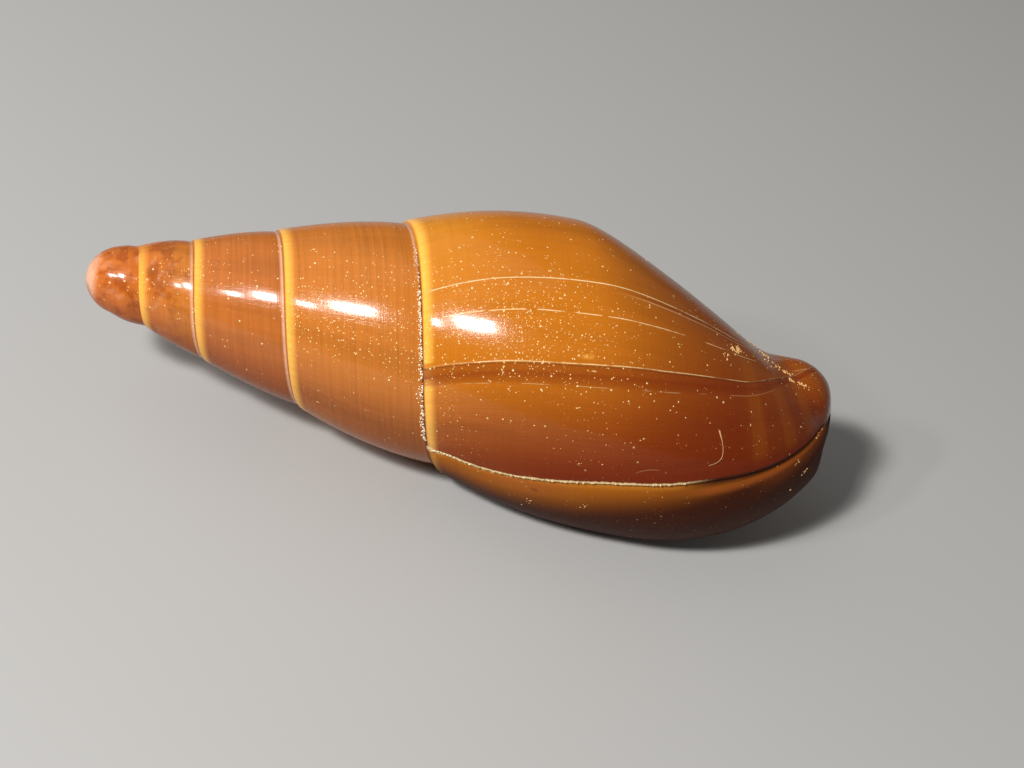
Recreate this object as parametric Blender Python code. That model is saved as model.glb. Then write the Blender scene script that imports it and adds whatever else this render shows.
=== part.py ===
"""Mitre snail shell, solid of one piece.

The shell lies on its aperture side. X runs along the coiling axis from the apex to the front end,
Y runs away from the viewer and Z is up. Lengths are metres.

Shell coordinates: s is the distance along the coiling axis from the apex, r the distance from the
axis, and the turn t counts whorls of growth. The last suture passes the middle of the viewer's side
at turn 0, and growth runs down that side.
"""
import math

import bmesh
import bpy
from mathutils import Matrix, Vector

MM = 0.001
COLLECTION_NAME = "isara_carbonaria"
CUTTER_COLLECTION_NAME = "cutters"

# growth of the suture: radius and distance along the axis, in mm, against the turn
SUTURE_RADIUS = 5.919
RADIUS_GROWTH = 0.3043
RADIUS_SLOWING = 0.0321
SUTURE_REACH = 17.761
REACH_OFFSET = 1.176
REACH_GROWTH = 0.4208
REACH_SLOWING = 0.0429
EARLY_TURN = -1.05
EARLY_TURNS = 1.9
EARLY_REACH = 0.45
EARLY_RADIUS = 0.02
TIP_TURN = -4.15
TIP_FULL_TURN = -3.05
TIP_POSITION = -0.06
TIP_CURVE = 3.0

# the first whorls are worn to a round dome, in mm along the axis
DOME_RADIUS = 1.25
DOME_LENGTH = 1.3
DOME_SLOPE = 0.28
DOME_UNTIL = 0.9
SPIRAL_FROM = 2.6

# whorl sides
SUTURE_STEP = 0.25
LARGEST_STEP = 1.1
FLANK_CURVE_SPIRE = 1.35
FLANK_CURVE_BODY = 2.245
FLANK_CURVE_FROM = -1.75
FLANK_CURVE_TURNS = 2.0
FLANK_TIP_TURN = -2.9

# body whorl in front of its widest place
LIP_TURN = 0.33
FRONT_END = 37.825
FRONT_LENGTH_OLD = 12.41
FRONT_LENGTH_LIP = 10.66
FRONT_POWER_OLD = (0.947, 1.402)
FRONT_POWER_LIP = (1.923, 2.008)
FRONT_OLD_TURN = -0.20
FRONT_SHRINK = 0.33
WIDEST_ROUNDING = 0.13
WIDEST_ROUNDING_OLD = 0.35
WIDEST_ROUNDING_TURN = -0.15
WIDEST_ROUNDING_TURNS = 0.30
END_ROUNDING = 0.55

# column at the front end, with the slope that joins it to the older growth behind it
NECK_RADIUS = 2.337
NECK_SHRINK = 0.35
NECK_BLEND = 0.35
NECK_BLEND_SEEN = 1.1
NECK_BLEND_SEEN_FROM = -0.35
NECK_BLEND_SEEN_TURNS = 0.2
NECK_BLEND_LAST_TURNS = 0.12
NECK_SLOPE = 0.31
NECK_SLOPE_FROM = 34.4
NECK_SLOPE_EASE = 1.6
NECK_SLOPE_LAST_TURN = -0.15
NECK_SLOPE_LAST_TURNS = 0.25
NECK_SLOPE_FIRST_TURNS = 1.35
NECK_SLOPE_FIRST_EASE = 0.35
NECK_SLOPE_REACH = 8.0

# growth lines fall behind the suture by these angles, in degrees
LAG_NEAR_SUTURE = 11.0
LAG_NEAR_SUTURE_LATE = 18.5
LAG_LATE_FROM = 0.033
LAG_LATE_TURNS = 0.161
LAG_LATE_LIMIT = 1.2
LAG_DECAY = 2.5
LAG_ALONG_WHORL = 14.0
LAG_ALONG_FROM = -0.056
LAG_ALONG_TURNS = 0.25
LAG_ALONG_LIMIT = 1.3
LAG_AT_FRONT = 16.0
LAG_AT_FRONT_FROM = -0.20
LAG_AT_FRONT_TURNS = 0.20
LAG_AT_FRONT_POWER = 8
LAG_HAND_OVER_TURNS = 0.28

# old growth mark: the shell goes on a little further in
SCAR_TURN = 0.1954
SCAR_DROP = 0.13
SCAR_DROP_FRONT = 0.11
SCAR_DROP_FRONT_SHARES = (0.65, 0.3)
SCAR_FADE_AT_SUTURE = 0.05
SCAR_FADE_AT_FRONT = 0.06
SCAR_RECOVERY = 0.045
SCAR_COLUMN_GAP = 0.0012
SCAR_BEND_NEAR = 0.026
SCAR_BEND_NEAR_REACH = 1.6
SCAR_BEND_FAR = 0.015
SCAR_BEND_FAR_START = (3.2, 7.0)
SCAR_BEND_FAR_STOP = (13.0, 5.5)
SCAR_BEND_TURNS = (0.075, 0.315)

# hollow
WALL = 0.70
LIP_WALL = 0.55
LIP_WALL_TURNS = 0.12
WALL_IN_NARROWS = 0.6
CALLUS = 0.08
HOLLOW_START_TURN = -2.35
HOLLOW_PAST_LIP = 0.035
HOLLOW_LEAST_GAP = 0.4
HOLLOW_FRONT_GAP = 1.3
HOLLOW_FRONT_WALL = 1.25
HOLLOW_LEAST_LENGTH = 1.0
HOLLOW_START_STEP = 0.02
HOLLOW_FINISH_STEP = 0.05
FOLD_PLACES = (0.235, 0.315, 0.39, 0.455)
FOLD_HEIGHTS = (0.42, 0.36, 0.29, 0.21)
FOLD_WIDTH = 0.024
FOLD_FLANK = 1.4
FOLD_FADE_PAST_LIP = 0.02
FOLD_FADE_TURNS = 0.07

# siphon notch: near the lip the hollow runs out through the front end
NOTCH_TURNS = 0.05
NOTCH_FINISH = 38.5
NOTCH_LEAST_RADIUS = 1.3

# how the shell lies: turned about its axis so that lip edge and last whorl touch the ground
REST_ROLL = 41.0
REST_HEIGHT = 6.29
GROUND_SIZE = 60.0
GROUND_DEPTH = 4.0

# colour of the shell wall
SHELL_COLOUR = (0.42, 0.13, 0.022, 1.0)
SHELL_ROUGHNESS = 0.3

# mesh steps
COLUMNS_PER_TURN = 52
FLANK_ROWS = 7
CAP_ROW_CROWDING = 1.6
SHOULDER_ROWS = 2
SHOULDER_STEPS = (0.25, 1.0)
SHOULDER_SHARES = (0.02, 0.05)
SHOULDER_DROP = 0.28
FRONT_ROWS = 16
FRONT_ROW_CROWDING = 1.6
HOLLOW_OUTER_ROWS = 11
HOLLOW_ROW_CROWDING = 1.3
HOLLOW_BACK_ROWS = 3
HOLLOW_FRONT_ROWS = 4
HOLLOW_STEP_LIP = 0.005
HOLLOW_STEP_NEAR = 0.02
HOLLOW_STEP_DEEP = 0.055
HOLLOW_DEEP_TURN = 0.0
HOLLOW_FIRST_SHARE = 0.3
HOLLOW_INSIDE_LIP = 0.01


def smooth_step(x):
    x = min(max(x, 0.0), 1.0)
    return x * x * (3.0 - 2.0 * x)


def smooth_max(a, b, width):
    h = min(max(0.5 + 0.5 * (a - b) / width, 0.0), 1.0)
    return b * (1.0 - h) + a * h + width * h * (1.0 - h)


def tip_part(t):
    return min(max((t - TIP_TURN) / (TIP_FULL_TURN - TIP_TURN), 0.0), 1.0)


def early_part(t):
    """1 in the first whorls, 0 in the later ones"""
    return smooth_step((EARLY_TURN - t) / EARLY_TURNS)


def suture_radius(t):
    full = max(t, TIP_FULL_TURN)
    rounding = 1.0 - (1.0 - tip_part(t)) ** TIP_CURVE
    radius = SUTURE_RADIUS * math.exp(RADIUS_GROWTH * full - RADIUS_SLOWING * full * full)
    return radius * (1.0 + EARLY_RADIUS * early_part(full)) * rounding


def suture_place(t):
    full = max(t, TIP_FULL_TURN)
    reach = SUTURE_REACH * math.exp(REACH_GROWTH * full - REACH_SLOWING * full * full)
    reach += EARLY_REACH * early_part(full) - REACH_OFFSET
    return TIP_POSITION + (reach - TIP_POSITION) * tip_part(t)


def step_height(t):
    """how far the whorl stands out from the one before it at its suture"""
    return SUTURE_STEP * min(suture_radius(t - 1.0) / SUTURE_RADIUS, LARGEST_STEP)


def groove_radius(t):
    return suture_radius(t) - step_height(t)


def flank_curve(t):
    body_part = smooth_step((t - FLANK_CURVE_FROM) / FLANK_CURVE_TURNS)
    tip = smooth_step(FLANK_TIP_TURN - t)
    return (FLANK_CURVE_SPIRE + (FLANK_CURVE_BODY - FLANK_CURVE_SPIRE) * body_part
            + (TIP_CURVE - FLANK_CURVE_SPIRE) * tip)


def flank_radius(t, s):
    start = suture_place(t)
    finish = suture_place(t + 1.0)
    x = min(max((finish - s) / (finish - start), 0.0), 1.0)
    widest = groove_radius(t + 1.0)
    return widest - (widest - suture_radius(t)) * x ** flank_curve(t)


def front_radius(t, s):
    """the whorl in front of its widest place, narrower in the older growth"""
    w = smooth_step((t - FRONT_OLD_TURN) / (LIP_TURN - FRONT_OLD_TURN))
    length = FRONT_LENGTH_OLD + (FRONT_LENGTH_LIP - FRONT_LENGTH_OLD) * w
    length *= math.exp(FRONT_SHRINK * min(t - FRONT_OLD_TURN, 0.0))
    power = FRONT_POWER_OLD[0] + (FRONT_POWER_LIP[0] - FRONT_POWER_OLD[0]) * w
    root = FRONT_POWER_OLD[1] + (FRONT_POWER_LIP[1] - FRONT_POWER_OLD[1]) * w
    y = min(max((s - suture_place(t + 1.0)) / length, 0.0), 1.0)
    old = smooth_step((WIDEST_ROUNDING_TURN - t) / WIDEST_ROUNDING_TURNS)
    ease = WIDEST_ROUNDING + (WIDEST_ROUNDING_OLD - WIDEST_ROUNDING) * old
    y = (math.hypot(y, ease) - ease) / (math.hypot(1.0, ease) - ease)
    return groove_radius(t + 1.0) * max(1.0 - y ** power, 0.0) ** (1.0 / root)


def neck_radius(t, s):
    """column at the front end around which the canal runs"""
    size = NECK_RADIUS * math.exp(NECK_SHRINK * min(t - LIP_TURN + 1.0, 0.0))
    x = min(max((s - FRONT_END + NECK_RADIUS) / NECK_RADIUS, 0.0), 1.0)
    back = max(NECK_SLOPE_FROM - s, 0.0)
    spread = NECK_SLOPE * back * back / (back + NECK_SLOPE_EASE)
    spread *= smooth_step((NECK_SLOPE_LAST_TURN - t) / NECK_SLOPE_LAST_TURNS)
    spread *= smooth_step((t - LIP_TURN + NECK_SLOPE_FIRST_TURNS) / NECK_SLOPE_FIRST_EASE)
    spread *= smooth_step((s - suture_place(t + 1.0)) / NECK_SLOPE_REACH)
    return size * (math.sqrt(1.0 - x * x) + spread / NECK_RADIUS)


def end_rounding(s):
    x = min(max((s - FRONT_END + END_ROUNDING) / END_ROUNDING, 0.0), 1.0)
    return math.sqrt(1.0 - x * x)


def scar_bend(t, s):
    """turns by which the old growth mark runs ahead of its mean turn"""
    reach = s - suture_place(t)
    start, ease = SCAR_BEND_FAR_START
    stop, stop_ease = SCAR_BEND_FAR_STOP
    far = smooth_step((reach - start) / ease) * (1.0 - smooth_step((reach - stop) / stop_ease))
    return SCAR_BEND_NEAR * math.exp(-(reach / SCAR_BEND_NEAR_REACH) ** 2) + SCAR_BEND_FAR * far


def bent_turn(t, s):
    """turn of column t at place s: the columns beside the old growth mark follow it"""
    first, last = SCAR_BEND_TURNS
    share = smooth_step((t - first) / (SCAR_TURN - first))
    share *= 1.0 - smooth_step((t - SCAR_TURN) / (last - SCAR_TURN))
    return t - share * scar_bend(t, s)


def scar_drop(t, s):
    past = t - SCAR_TURN + scar_bend(t, s)
    if past <= 0.0:
        return 0.0
    u = (s - suture_place(t)) / (FRONT_END - suture_place(t))
    start, ease = SCAR_DROP_FRONT_SHARES
    depth = SCAR_DROP + SCAR_DROP_FRONT * smooth_step((u - start) / ease)
    depth *= smooth_step(u / SCAR_FADE_AT_SUTURE) * smooth_step((1.0 - u) / SCAR_FADE_AT_FRONT)
    return depth * math.exp(-past / SCAR_RECOVERY)


def outer_radius(t, s):
    if s < suture_place(t + 1.0):
        whorl = flank_radius(t, s)
    else:
        whorl = front_radius(t, s)
    seen = smooth_step((SCAR_TURN - t) / NECK_BLEND_LAST_TURNS)
    seen *= smooth_step((t - NECK_BLEND_SEEN_FROM) / NECK_BLEND_SEEN_TURNS)
    blend = NECK_BLEND + (NECK_BLEND_SEEN - NECK_BLEND) * seen
    whorl = smooth_max(whorl, neck_radius(t, s), blend)
    return (whorl - scar_drop(t, s)) * end_rounding(s)


def growth_lag(t, s):
    """degrees by which the growth line of turn t lies behind its suture end"""
    start = suture_place(t)
    u = (s - start) / (FRONT_END - start)
    late = min(max((t - LAG_LATE_FROM) / LAG_LATE_TURNS, 0.0), LAG_LATE_LIMIT)
    near = LAG_NEAR_SUTURE + (LAG_NEAR_SUTURE_LATE - LAG_NEAR_SUTURE) * late / LAG_LATE_LIMIT
    decay = LAG_DECAY - min(late, 1.0)
    along = min(max((t - LAG_ALONG_FROM) / LAG_ALONG_TURNS, 0.0), LAG_ALONG_LIMIT)
    front = min(max((t - LAG_AT_FRONT_FROM) / LAG_AT_FRONT_TURNS, 0.0), 1.0)
    reach = max(s - start, 0.0)
    u = max(u, 0.0)
    lag = near * (1.0 - math.exp(-reach / decay)) + LAG_ALONG_WHORL * along * u
    return lag + LAG_AT_FRONT * front * u ** LAG_AT_FRONT_POWER


def column_angle(t, s):
    """angle in radians on the body whorl, 0 on the viewer's side and growing downwards"""
    first = LIP_TURN - 1.0
    own = smooth_step((t - first) / LAG_HAND_OVER_TURNS)
    lag = own * growth_lag(t, s)
    if own < 1.0:
        lag += (1.0 - own) * growth_lag(t + 1.0, s)
    return t * 2.0 * math.pi - math.radians(lag)


def worn_radius(s, radius):
    if s >= SPIRAL_FROM:
        return radius
    x = min((s - TIP_POSITION) / DOME_LENGTH, 1.0)
    dome = DOME_RADIUS * math.sqrt(1.0 - (1.0 - x) ** 2) + DOME_SLOPE * (s - TIP_POSITION)
    share = smooth_step((s - DOME_UNTIL) / (SPIRAL_FROM - DOME_UNTIL))
    return dome + (radius - dome) * share


def shell_point(s, angle, radius):
    """the viewer's side is -Y, growth turns towards -Z there"""
    radius = worn_radius(s, radius)
    return Vector((s, -radius * math.cos(angle), -radius * math.sin(angle))) * MM


def flank_places(t, finish):
    """places along the axis from the groove of turn t to the finish"""
    start = suture_place(t)
    step = step_height(t)
    length = finish - start
    places = [start]
    for steps, share in zip(SHOULDER_STEPS, SHOULDER_SHARES):
        places.append(start + max(steps * step, share * length))
    last = places[-1]
    rest = FLANK_ROWS - SHOULDER_ROWS
    for row in range(1, rest + 1):
        places.append(last + (finish - last) * row / rest)
    return places


def flank_column(t):
    """points (t, s, r) from the groove to the next suture"""
    finish = suture_place(t + 1.0)
    on_last = t >= LIP_TURN - 1.0
    points = []
    for row, s in enumerate(flank_places(t, finish)):
        turn = bent_turn(t, s) if on_last else t
        radius = outer_radius(turn, s) if on_last else flank_radius(t, s)
        if row == 0:
            turn = t
            radius = groove_radius(t)
        if row == 1:
            radius -= SHOULDER_DROP * step_height(t)
        points.append((turn, s, radius))
    if t <= LIP_TURN - 1.0:
        points[-1] = (t, finish, groove_radius(t + 1.0))
    return points


def front_column(t):
    """points (t, s, r) from the widest place to just short of the front end"""
    start = suture_place(t + 1.0)
    points = []
    for row in range(1, FRONT_ROWS):
        v = row / FRONT_ROWS
        s = start + (FRONT_END - start) * (1.0 - (1.0 - v) ** FRONT_ROW_CROWDING)
        turn = bent_turn(t, s)
        points.append((turn, s, outer_radius(turn, s)))
    return points


def add_ring(mesh, first, second):
    """faces between two equally long rows of vertices"""
    for i in range(len(first) - 1):
        corners = []
        for vertex in (first[i], second[i], second[i + 1], first[i + 1]):
            if vertex not in corners:
                corners.append(vertex)
        if len(corners) > 2:
            mesh.faces.new(corners)


def zip_rows(mesh, inner, outer):
    """triangles between two rows of vertices of unlike length that share their end points"""
    i = 0
    j = 0
    while i < len(inner) - 1 or j < len(outer) - 1:
        step_outer = i == len(inner) - 1 or (
            j < len(outer) - 1 and outer[j + 1].co.x < inner[i + 1].co.x)
        if step_outer:
            corners = [inner[i], outer[j], outer[j + 1]]
            j += 1
        else:
            corners = [inner[i], outer[j], inner[i + 1]]
            i += 1
        if len(set(corners)) == 3:
            mesh.faces.new(corners)


def build_cap(mesh, tip, grooves, turns):
    """dome inside the first turn of the groove, returns its last column"""
    shares = [(i / FLANK_ROWS) ** CAP_ROW_CROWDING for i in range(1, FLANK_ROWS)]
    previous = None
    for k in range(2, COLUMNS_PER_TURN + 1):
        finish = suture_place(turns[k])
        column = [tip]
        for x in shares:
            radius = groove_radius(turns[k]) * (1.0 - (1.0 - x) ** TIP_CURVE)
            s = TIP_POSITION + (finish - TIP_POSITION) * x
            column.append(mesh.verts.new(shell_point(s, turns[k] * 2.0 * math.pi, radius)))
        column.append(grooves[k])
        if previous is None:
            mesh.faces.new([grooves[1]] + column)
        else:
            add_ring(mesh, previous, column)
        previous = column
    return previous


def build_body():
    """the shell as if it were full"""
    mesh = bmesh.new()
    count = int((LIP_TURN - TIP_TURN) * COLUMNS_PER_TURN)
    turns = [LIP_TURN - (count - k) / COLUMNS_PER_TURN for k in range(count + 1)]
    body_start = count - COLUMNS_PER_TURN
    scar_column = count - round((LIP_TURN - SCAR_TURN) * COLUMNS_PER_TURN)

    tip = mesh.verts.new(Vector((TIP_POSITION, 0.0, 0.0)) * MM)
    front_tip = mesh.verts.new(Vector((FRONT_END, 0.0, 0.0)) * MM)
    grooves = [tip]
    for t in turns[1:]:
        grooves.append(mesh.verts.new(
            shell_point(suture_place(t), t * 2.0 * math.pi, groove_radius(t))))

    def column_of(t, k):
        points = flank_column(t)
        vertices = [grooves[k]]
        for turn, s, radius in points[1:-1]:
            angle = column_angle(turn, s) if k > body_start else t * 2.0 * math.pi
            vertices.append(mesh.verts.new(shell_point(s, angle, radius)))
        turn, s, radius = points[-1]
        if k <= body_start:
            vertices.append(grooves[k + COLUMNS_PER_TURN])
        else:
            vertices.append(mesh.verts.new(shell_point(s, column_angle(turn, s), radius)))
        if k >= body_start:
            for turn, s, radius in front_column(t):
                vertices.append(mesh.verts.new(shell_point(s, column_angle(turn, s), radius)))
            vertices.append(front_tip)
        return vertices

    previous = build_cap(mesh, tip, grooves, turns)
    lip_start = None
    for k in range(1, count + 1):
        column = column_of(turns[k], k)
        length = min(len(previous), len(column))
        add_ring(mesh, previous[:length], column[:length])
        if k == body_start:
            lip_start = column[FLANK_ROWS:]
        previous = column
        if k == scar_column:
            after = column_of(turns[k] + SCAR_COLUMN_GAP, k)
            add_ring(mesh, column, after)
            previous = after
    zip_rows(mesh, lip_start, previous)
    return mesh


def hollow_gap(t, s):
    """room between the whorl's outside and the whorl or column behind it"""
    return outer_radius(t, s) - outer_radius(t - 1.0, s)


def wall_thickness(t, gap):
    near_lip = smooth_step((t - LIP_TURN + LIP_WALL_TURNS) / LIP_WALL_TURNS)
    wall = WALL + (LIP_WALL - WALL) * near_lip
    return wall * (1.0 - math.exp(-WALL_IN_NARROWS * gap / wall))


def size_at(t):
    """size of the whorl at turn t as a share of that at the lip"""
    return suture_radius(t) / suture_radius(LIP_TURN)


def aperture_reach(t):
    return (FRONT_END - suture_place(LIP_TURN)) * size_at(t)


def fold_height(t, s):
    """spiral ridges on the column, fading out at the inner lip"""
    reach = aperture_reach(t)
    fade = smooth_step((LIP_TURN + FOLD_FADE_PAST_LIP - t) / FOLD_FADE_TURNS) * size_at(t)
    height = 0.0
    for place, top in zip(FOLD_PLACES, FOLD_HEIGHTS):
        x = (s - suture_place(t) - place * reach) / (FOLD_WIDTH * reach)
        height += top * math.exp(-x * x)
    return height * fade


def hollow_limits(t):
    """where along the axis the hollow of turn t starts and ends"""
    start = suture_place(t)
    while hollow_gap(t, start) < HOLLOW_LEAST_GAP:
        start += HOLLOW_START_STEP
    finish = start
    last = FRONT_END - HOLLOW_FRONT_WALL
    step = HOLLOW_FINISH_STEP
    while finish < last and hollow_gap(t, finish + step) > HOLLOW_LEAST_GAP:
        finish += step
    front_gap = HOLLOW_FRONT_GAP * size_at(t)
    while hollow_gap(t, finish) < front_gap and finish > start + HOLLOW_LEAST_LENGTH:
        finish -= step
    return start, finish


def hollow_section(t):
    """closed ring of points (s, r): out along the wall, back along the column"""
    start, finish = hollow_limits(t)
    open_part = min(max((t - LIP_TURN) / NOTCH_TURNS + 1.0, 0.0), 1.0)
    finish += (NOTCH_FINISH - finish) * math.sqrt(1.0 - (1.0 - open_part) ** 2)
    ring = []
    for i in range(HOLLOW_OUTER_ROWS + 1):
        v = i / HOLLOW_OUTER_ROWS
        s = start + (finish - start) * (1.0 - (1.0 - v) ** HOLLOW_ROW_CROWDING)
        near = min(s, FRONT_END - END_ROUNDING)
        ring.append((s, outer_radius(t, near) - wall_thickness(t, hollow_gap(t, near))))
    reach = aperture_reach(t)
    first_fold = suture_place(t) + (FOLD_PLACES[0] - FOLD_WIDTH) * reach
    rows = HOLLOW_BACK_ROWS
    inner = [start + (first_fold - start) * i / rows for i in range(rows)]
    for place in FOLD_PLACES:
        inner.append(suture_place(t) + (place - FOLD_FLANK * FOLD_WIDTH) * reach)
        inner.append(suture_place(t) + place * reach)
    inner.append(suture_place(t) + (FOLD_PLACES[-1] + FOLD_FLANK * FOLD_WIDTH) * reach)
    last = inner[-1]
    for i in range(1, HOLLOW_FRONT_ROWS + 1):
        inner.append(last + (finish - last) * i / HOLLOW_FRONT_ROWS)
    for s in reversed(inner):
        radius = outer_radius(t - 1.0, s) + CALLUS + fold_height(t, s)
        ring.append((s, max(radius, NOTCH_LEAST_RADIUS * size_at(t))))
    return ring


def build_hollow():
    """the room inside the last whorls, running out through the aperture"""
    mesh = bmesh.new()
    turns = [LIP_TURN + HOLLOW_PAST_LIP, LIP_TURN + HOLLOW_FIRST_SHARE * HOLLOW_PAST_LIP]
    t = LIP_TURN - HOLLOW_INSIDE_LIP
    while t > HOLLOW_START_TURN:
        turns.append(t)
        if t > LIP_TURN - NOTCH_TURNS - HOLLOW_STEP_LIP:
            t -= HOLLOW_STEP_LIP
        elif t > HOLLOW_DEEP_TURN:
            t -= HOLLOW_STEP_NEAR
        else:
            t -= HOLLOW_STEP_DEEP
    first = None
    previous = None
    for t in turns:
        row = []
        for s, radius in hollow_section(t):
            angle = t * 2.0 * math.pi - math.radians(growth_lag(t, s))
            row.append(mesh.verts.new(shell_point(s, angle, radius)))
        row.append(row[0])
        if previous is None:
            first = row
        else:
            add_ring(mesh, previous, row)
        previous = row
    for row in (first[:-1], previous[:-1]):
        half = HOLLOW_OUTER_ROWS + 1
        zip_rows(mesh, [row[0]] + list(reversed(row[half:])) + [row[half - 1]], row[:half])
    return mesh


def collection_named(name):
    found = bpy.data.collections.new(name)
    bpy.context.scene.collection.children.link(found)
    return found


def mesh_object(name, mesh, collection):
    bmesh.ops.recalc_face_normals(mesh, faces=mesh.faces)
    bmesh.ops.triangulate(mesh, faces=mesh.faces)
    data = bpy.data.meshes.new(name)
    mesh.to_mesh(data)
    mesh.free()
    made = bpy.data.objects.new(name, data)
    collection.objects.link(made)
    return made


def hide_cutter(cutter):
    cutter.hide_render = True
    cutter.display_type = "WIRE"


def cut(target, cutter):
    modifier = target.modifiers.new("cut " + cutter.name, "BOOLEAN")
    modifier.operation = "DIFFERENCE"
    modifier.solver = "EXACT"
    modifier.object = cutter


def build_ground():
    """block below the ground level"""
    mesh = bmesh.new()
    size = Matrix.Diagonal((GROUND_SIZE * MM, GROUND_SIZE * MM, GROUND_DEPTH * MM, 1.0))
    bmesh.ops.create_cube(mesh, size=1.0, matrix=size)
    bmesh.ops.translate(mesh, verts=mesh.verts, vec=(0.0, 0.0, -0.5 * GROUND_DEPTH * MM))
    return mesh


def resting_place(mesh):
    """puts the shell on the ground with its outline centred on the origin"""
    turned = Matrix.Rotation(math.radians(-REST_ROLL), 4, "X")
    spots = [turned @ vertex.co for vertex in mesh.verts]
    middle_x = 0.5 * (min(p.x for p in spots) + max(p.x for p in spots))
    middle_y = 0.5 * (min(p.y for p in spots) + max(p.y for p in spots))
    return Matrix.Translation((-middle_x, -middle_y, REST_HEIGHT * MM)) @ turned


def shell_material():
    material = bpy.data.materials.new("shell")
    material.use_nodes = True
    surface = material.node_tree.nodes["Principled BSDF"]
    surface.inputs["Base Color"].default_value = SHELL_COLOUR
    surface.inputs["Roughness"].default_value = SHELL_ROUGHNESS
    surface.inputs["Metallic"].default_value = 0.0
    material.diffuse_color = SHELL_COLOUR
    return material


def main():
    for thing in list(bpy.data.objects):
        bpy.data.objects.remove(thing, do_unlink=True)
    shell_collection = collection_named(COLLECTION_NAME)
    cutters = collection_named(CUTTER_COLLECTION_NAME)
    body = build_body()
    place = resting_place(body)
    body.transform(place)
    shell = mesh_object("shell", body, shell_collection)
    shell.data.materials.append(shell_material())
    hollow = build_hollow()
    hollow.transform(place)
    parts = [
        mesh_object("hollow", hollow, cutters),
        mesh_object("ground", build_ground(), cutters),
    ]
    for cutter in parts:
        hide_cutter(cutter)
        cut(shell, cutter)


if __name__ == "__main__":
    main()
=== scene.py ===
"""Mitre snail shell with its growth lines, dirt, dust and one lint fibre, laid out as an add-on.

Shell coordinates: s is the distance in mm along the coiling axis from the apex, r the distance from
the axis, and the turn t counts whorls of growth. The last suture passes the middle of the viewer's
side at turn 0, and growth runs down that side. In the material d is the distance in mm in front of
the suture, g the distance to the next one, and past counts the turns since the old growth mark.
"""
import math
import random

import bmesh
import bpy
from bpy.props import FloatProperty, FloatVectorProperty, IntProperty, PointerProperty
from mathutils import Matrix, Vector


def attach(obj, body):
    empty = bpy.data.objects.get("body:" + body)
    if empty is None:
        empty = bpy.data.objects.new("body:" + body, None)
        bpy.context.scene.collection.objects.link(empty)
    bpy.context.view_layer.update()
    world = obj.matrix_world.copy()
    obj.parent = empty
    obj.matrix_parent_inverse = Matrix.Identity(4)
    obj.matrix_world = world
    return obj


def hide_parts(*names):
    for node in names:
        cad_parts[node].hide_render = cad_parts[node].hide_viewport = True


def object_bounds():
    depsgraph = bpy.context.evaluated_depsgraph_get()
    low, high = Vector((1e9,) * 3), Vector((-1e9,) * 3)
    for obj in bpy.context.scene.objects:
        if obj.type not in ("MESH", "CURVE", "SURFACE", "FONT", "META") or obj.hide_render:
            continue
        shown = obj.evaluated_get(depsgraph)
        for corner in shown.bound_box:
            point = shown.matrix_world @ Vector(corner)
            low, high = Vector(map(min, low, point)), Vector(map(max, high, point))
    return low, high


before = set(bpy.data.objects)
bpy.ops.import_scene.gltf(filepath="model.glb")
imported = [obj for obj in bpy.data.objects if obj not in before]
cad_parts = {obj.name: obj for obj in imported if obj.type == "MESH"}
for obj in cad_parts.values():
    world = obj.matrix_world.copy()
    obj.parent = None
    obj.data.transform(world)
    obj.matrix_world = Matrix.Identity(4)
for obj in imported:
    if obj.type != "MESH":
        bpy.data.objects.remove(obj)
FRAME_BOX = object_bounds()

bl_info = {
    "name": "Mitre shell",
    "version": (1, 0, 0),
    "blender": (4, 5, 0),
    "location": "3D View > Sidebar > Mitre shell",
    "description": "Builds a spindle-shaped sea snail shell, its surface and a plain stage",
    "category": "Add Mesh",
}

MM = 0.001
FULL_TURN = 2.0 * math.pi
MAP_NAMES = ("growth", "whorl", "marks")
GROUND_MARK = 99.0
SMOOTH_ANGLE = 42.0

# a pair of numbers is where a change starts and where it ends, in turns unless it says otherwise

# growth of the suture: radius and distance along the axis, in mm, against the turn
SUTURE_RADIUS = 5.919
RADIUS_GROWTH = 0.3043
RADIUS_SLOWING = 0.0321
SUTURE_REACH = 17.761
REACH_OFFSET = 1.176
REACH_GROWTH = 0.4208
REACH_SLOWING = 0.0429
EARLY_TURNS = (-1.05, -2.95)
EARLY_REACH = 0.45
EARLY_RADIUS = 0.02
TIP_TURNS = (-4.15, -3.05)
TIP_POSITION = -0.06
TIP_CURVE = 3.0
LARGEST_STEP = 1.1

# worn dome of the tip
DOME_RADIUS = 1.25
DOME_LENGTH = 1.3
DOME_SLOPE = 0.28
DOME_MM = (0.9, 2.6)

# whorl sides
FLANK_CURVE_SPIRE = 1.35
FLANK_CURVE_BODY = 2.245
FLANK_BODY_TURNS = (-1.75, 0.25)
FLANK_TIP_TURNS = (-2.9, -3.9)
SHOULDER_PLACES = (0.0, 0.12, 0.3, 0.6, 1.0)
SHOULDER_DROPS = (1.0, 0.52, 0.2, 0.05, 0.0)
SHOULDER_SHARE = 0.05

# body whorl in front of its widest place
LIP_TURN = 0.33
LAST_WHORL = LIP_TURN - 1.0
FRONT_END = 37.825
FRONT_OLD_TURN = -0.20
FRONT_SHRINK = 0.33
FRONT_LENGTHS = (12.41, 10.66)
FRONT_POWERS = (0.947, 1.923)
FRONT_ROOTS = (1.402, 2.008)
FRONT_ROW_CROWDING = 1.6
WIDEST_ROUNDINGS = (0.13, 0.35)
WIDEST_ROUNDING_TURNS = (-0.15, -0.45)
END_ROUNDING = 0.55
NECK_RADIUS = 2.337
NECK_SHRINK = 0.35
NECK_BLENDS = (0.35, 1.1)
NECK_BLEND_TURNS = 0.12
NECK_BLEND_START = (-0.35, -0.15)
NECK_SLOPE = 0.31
NECK_SLOPE_FROM = 34.4
NECK_SLOPE_EASE = 1.6
NECK_SLOPE_REACH = 8.0
NECK_SLOPE_STOP = (-0.15, -0.40)
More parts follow.
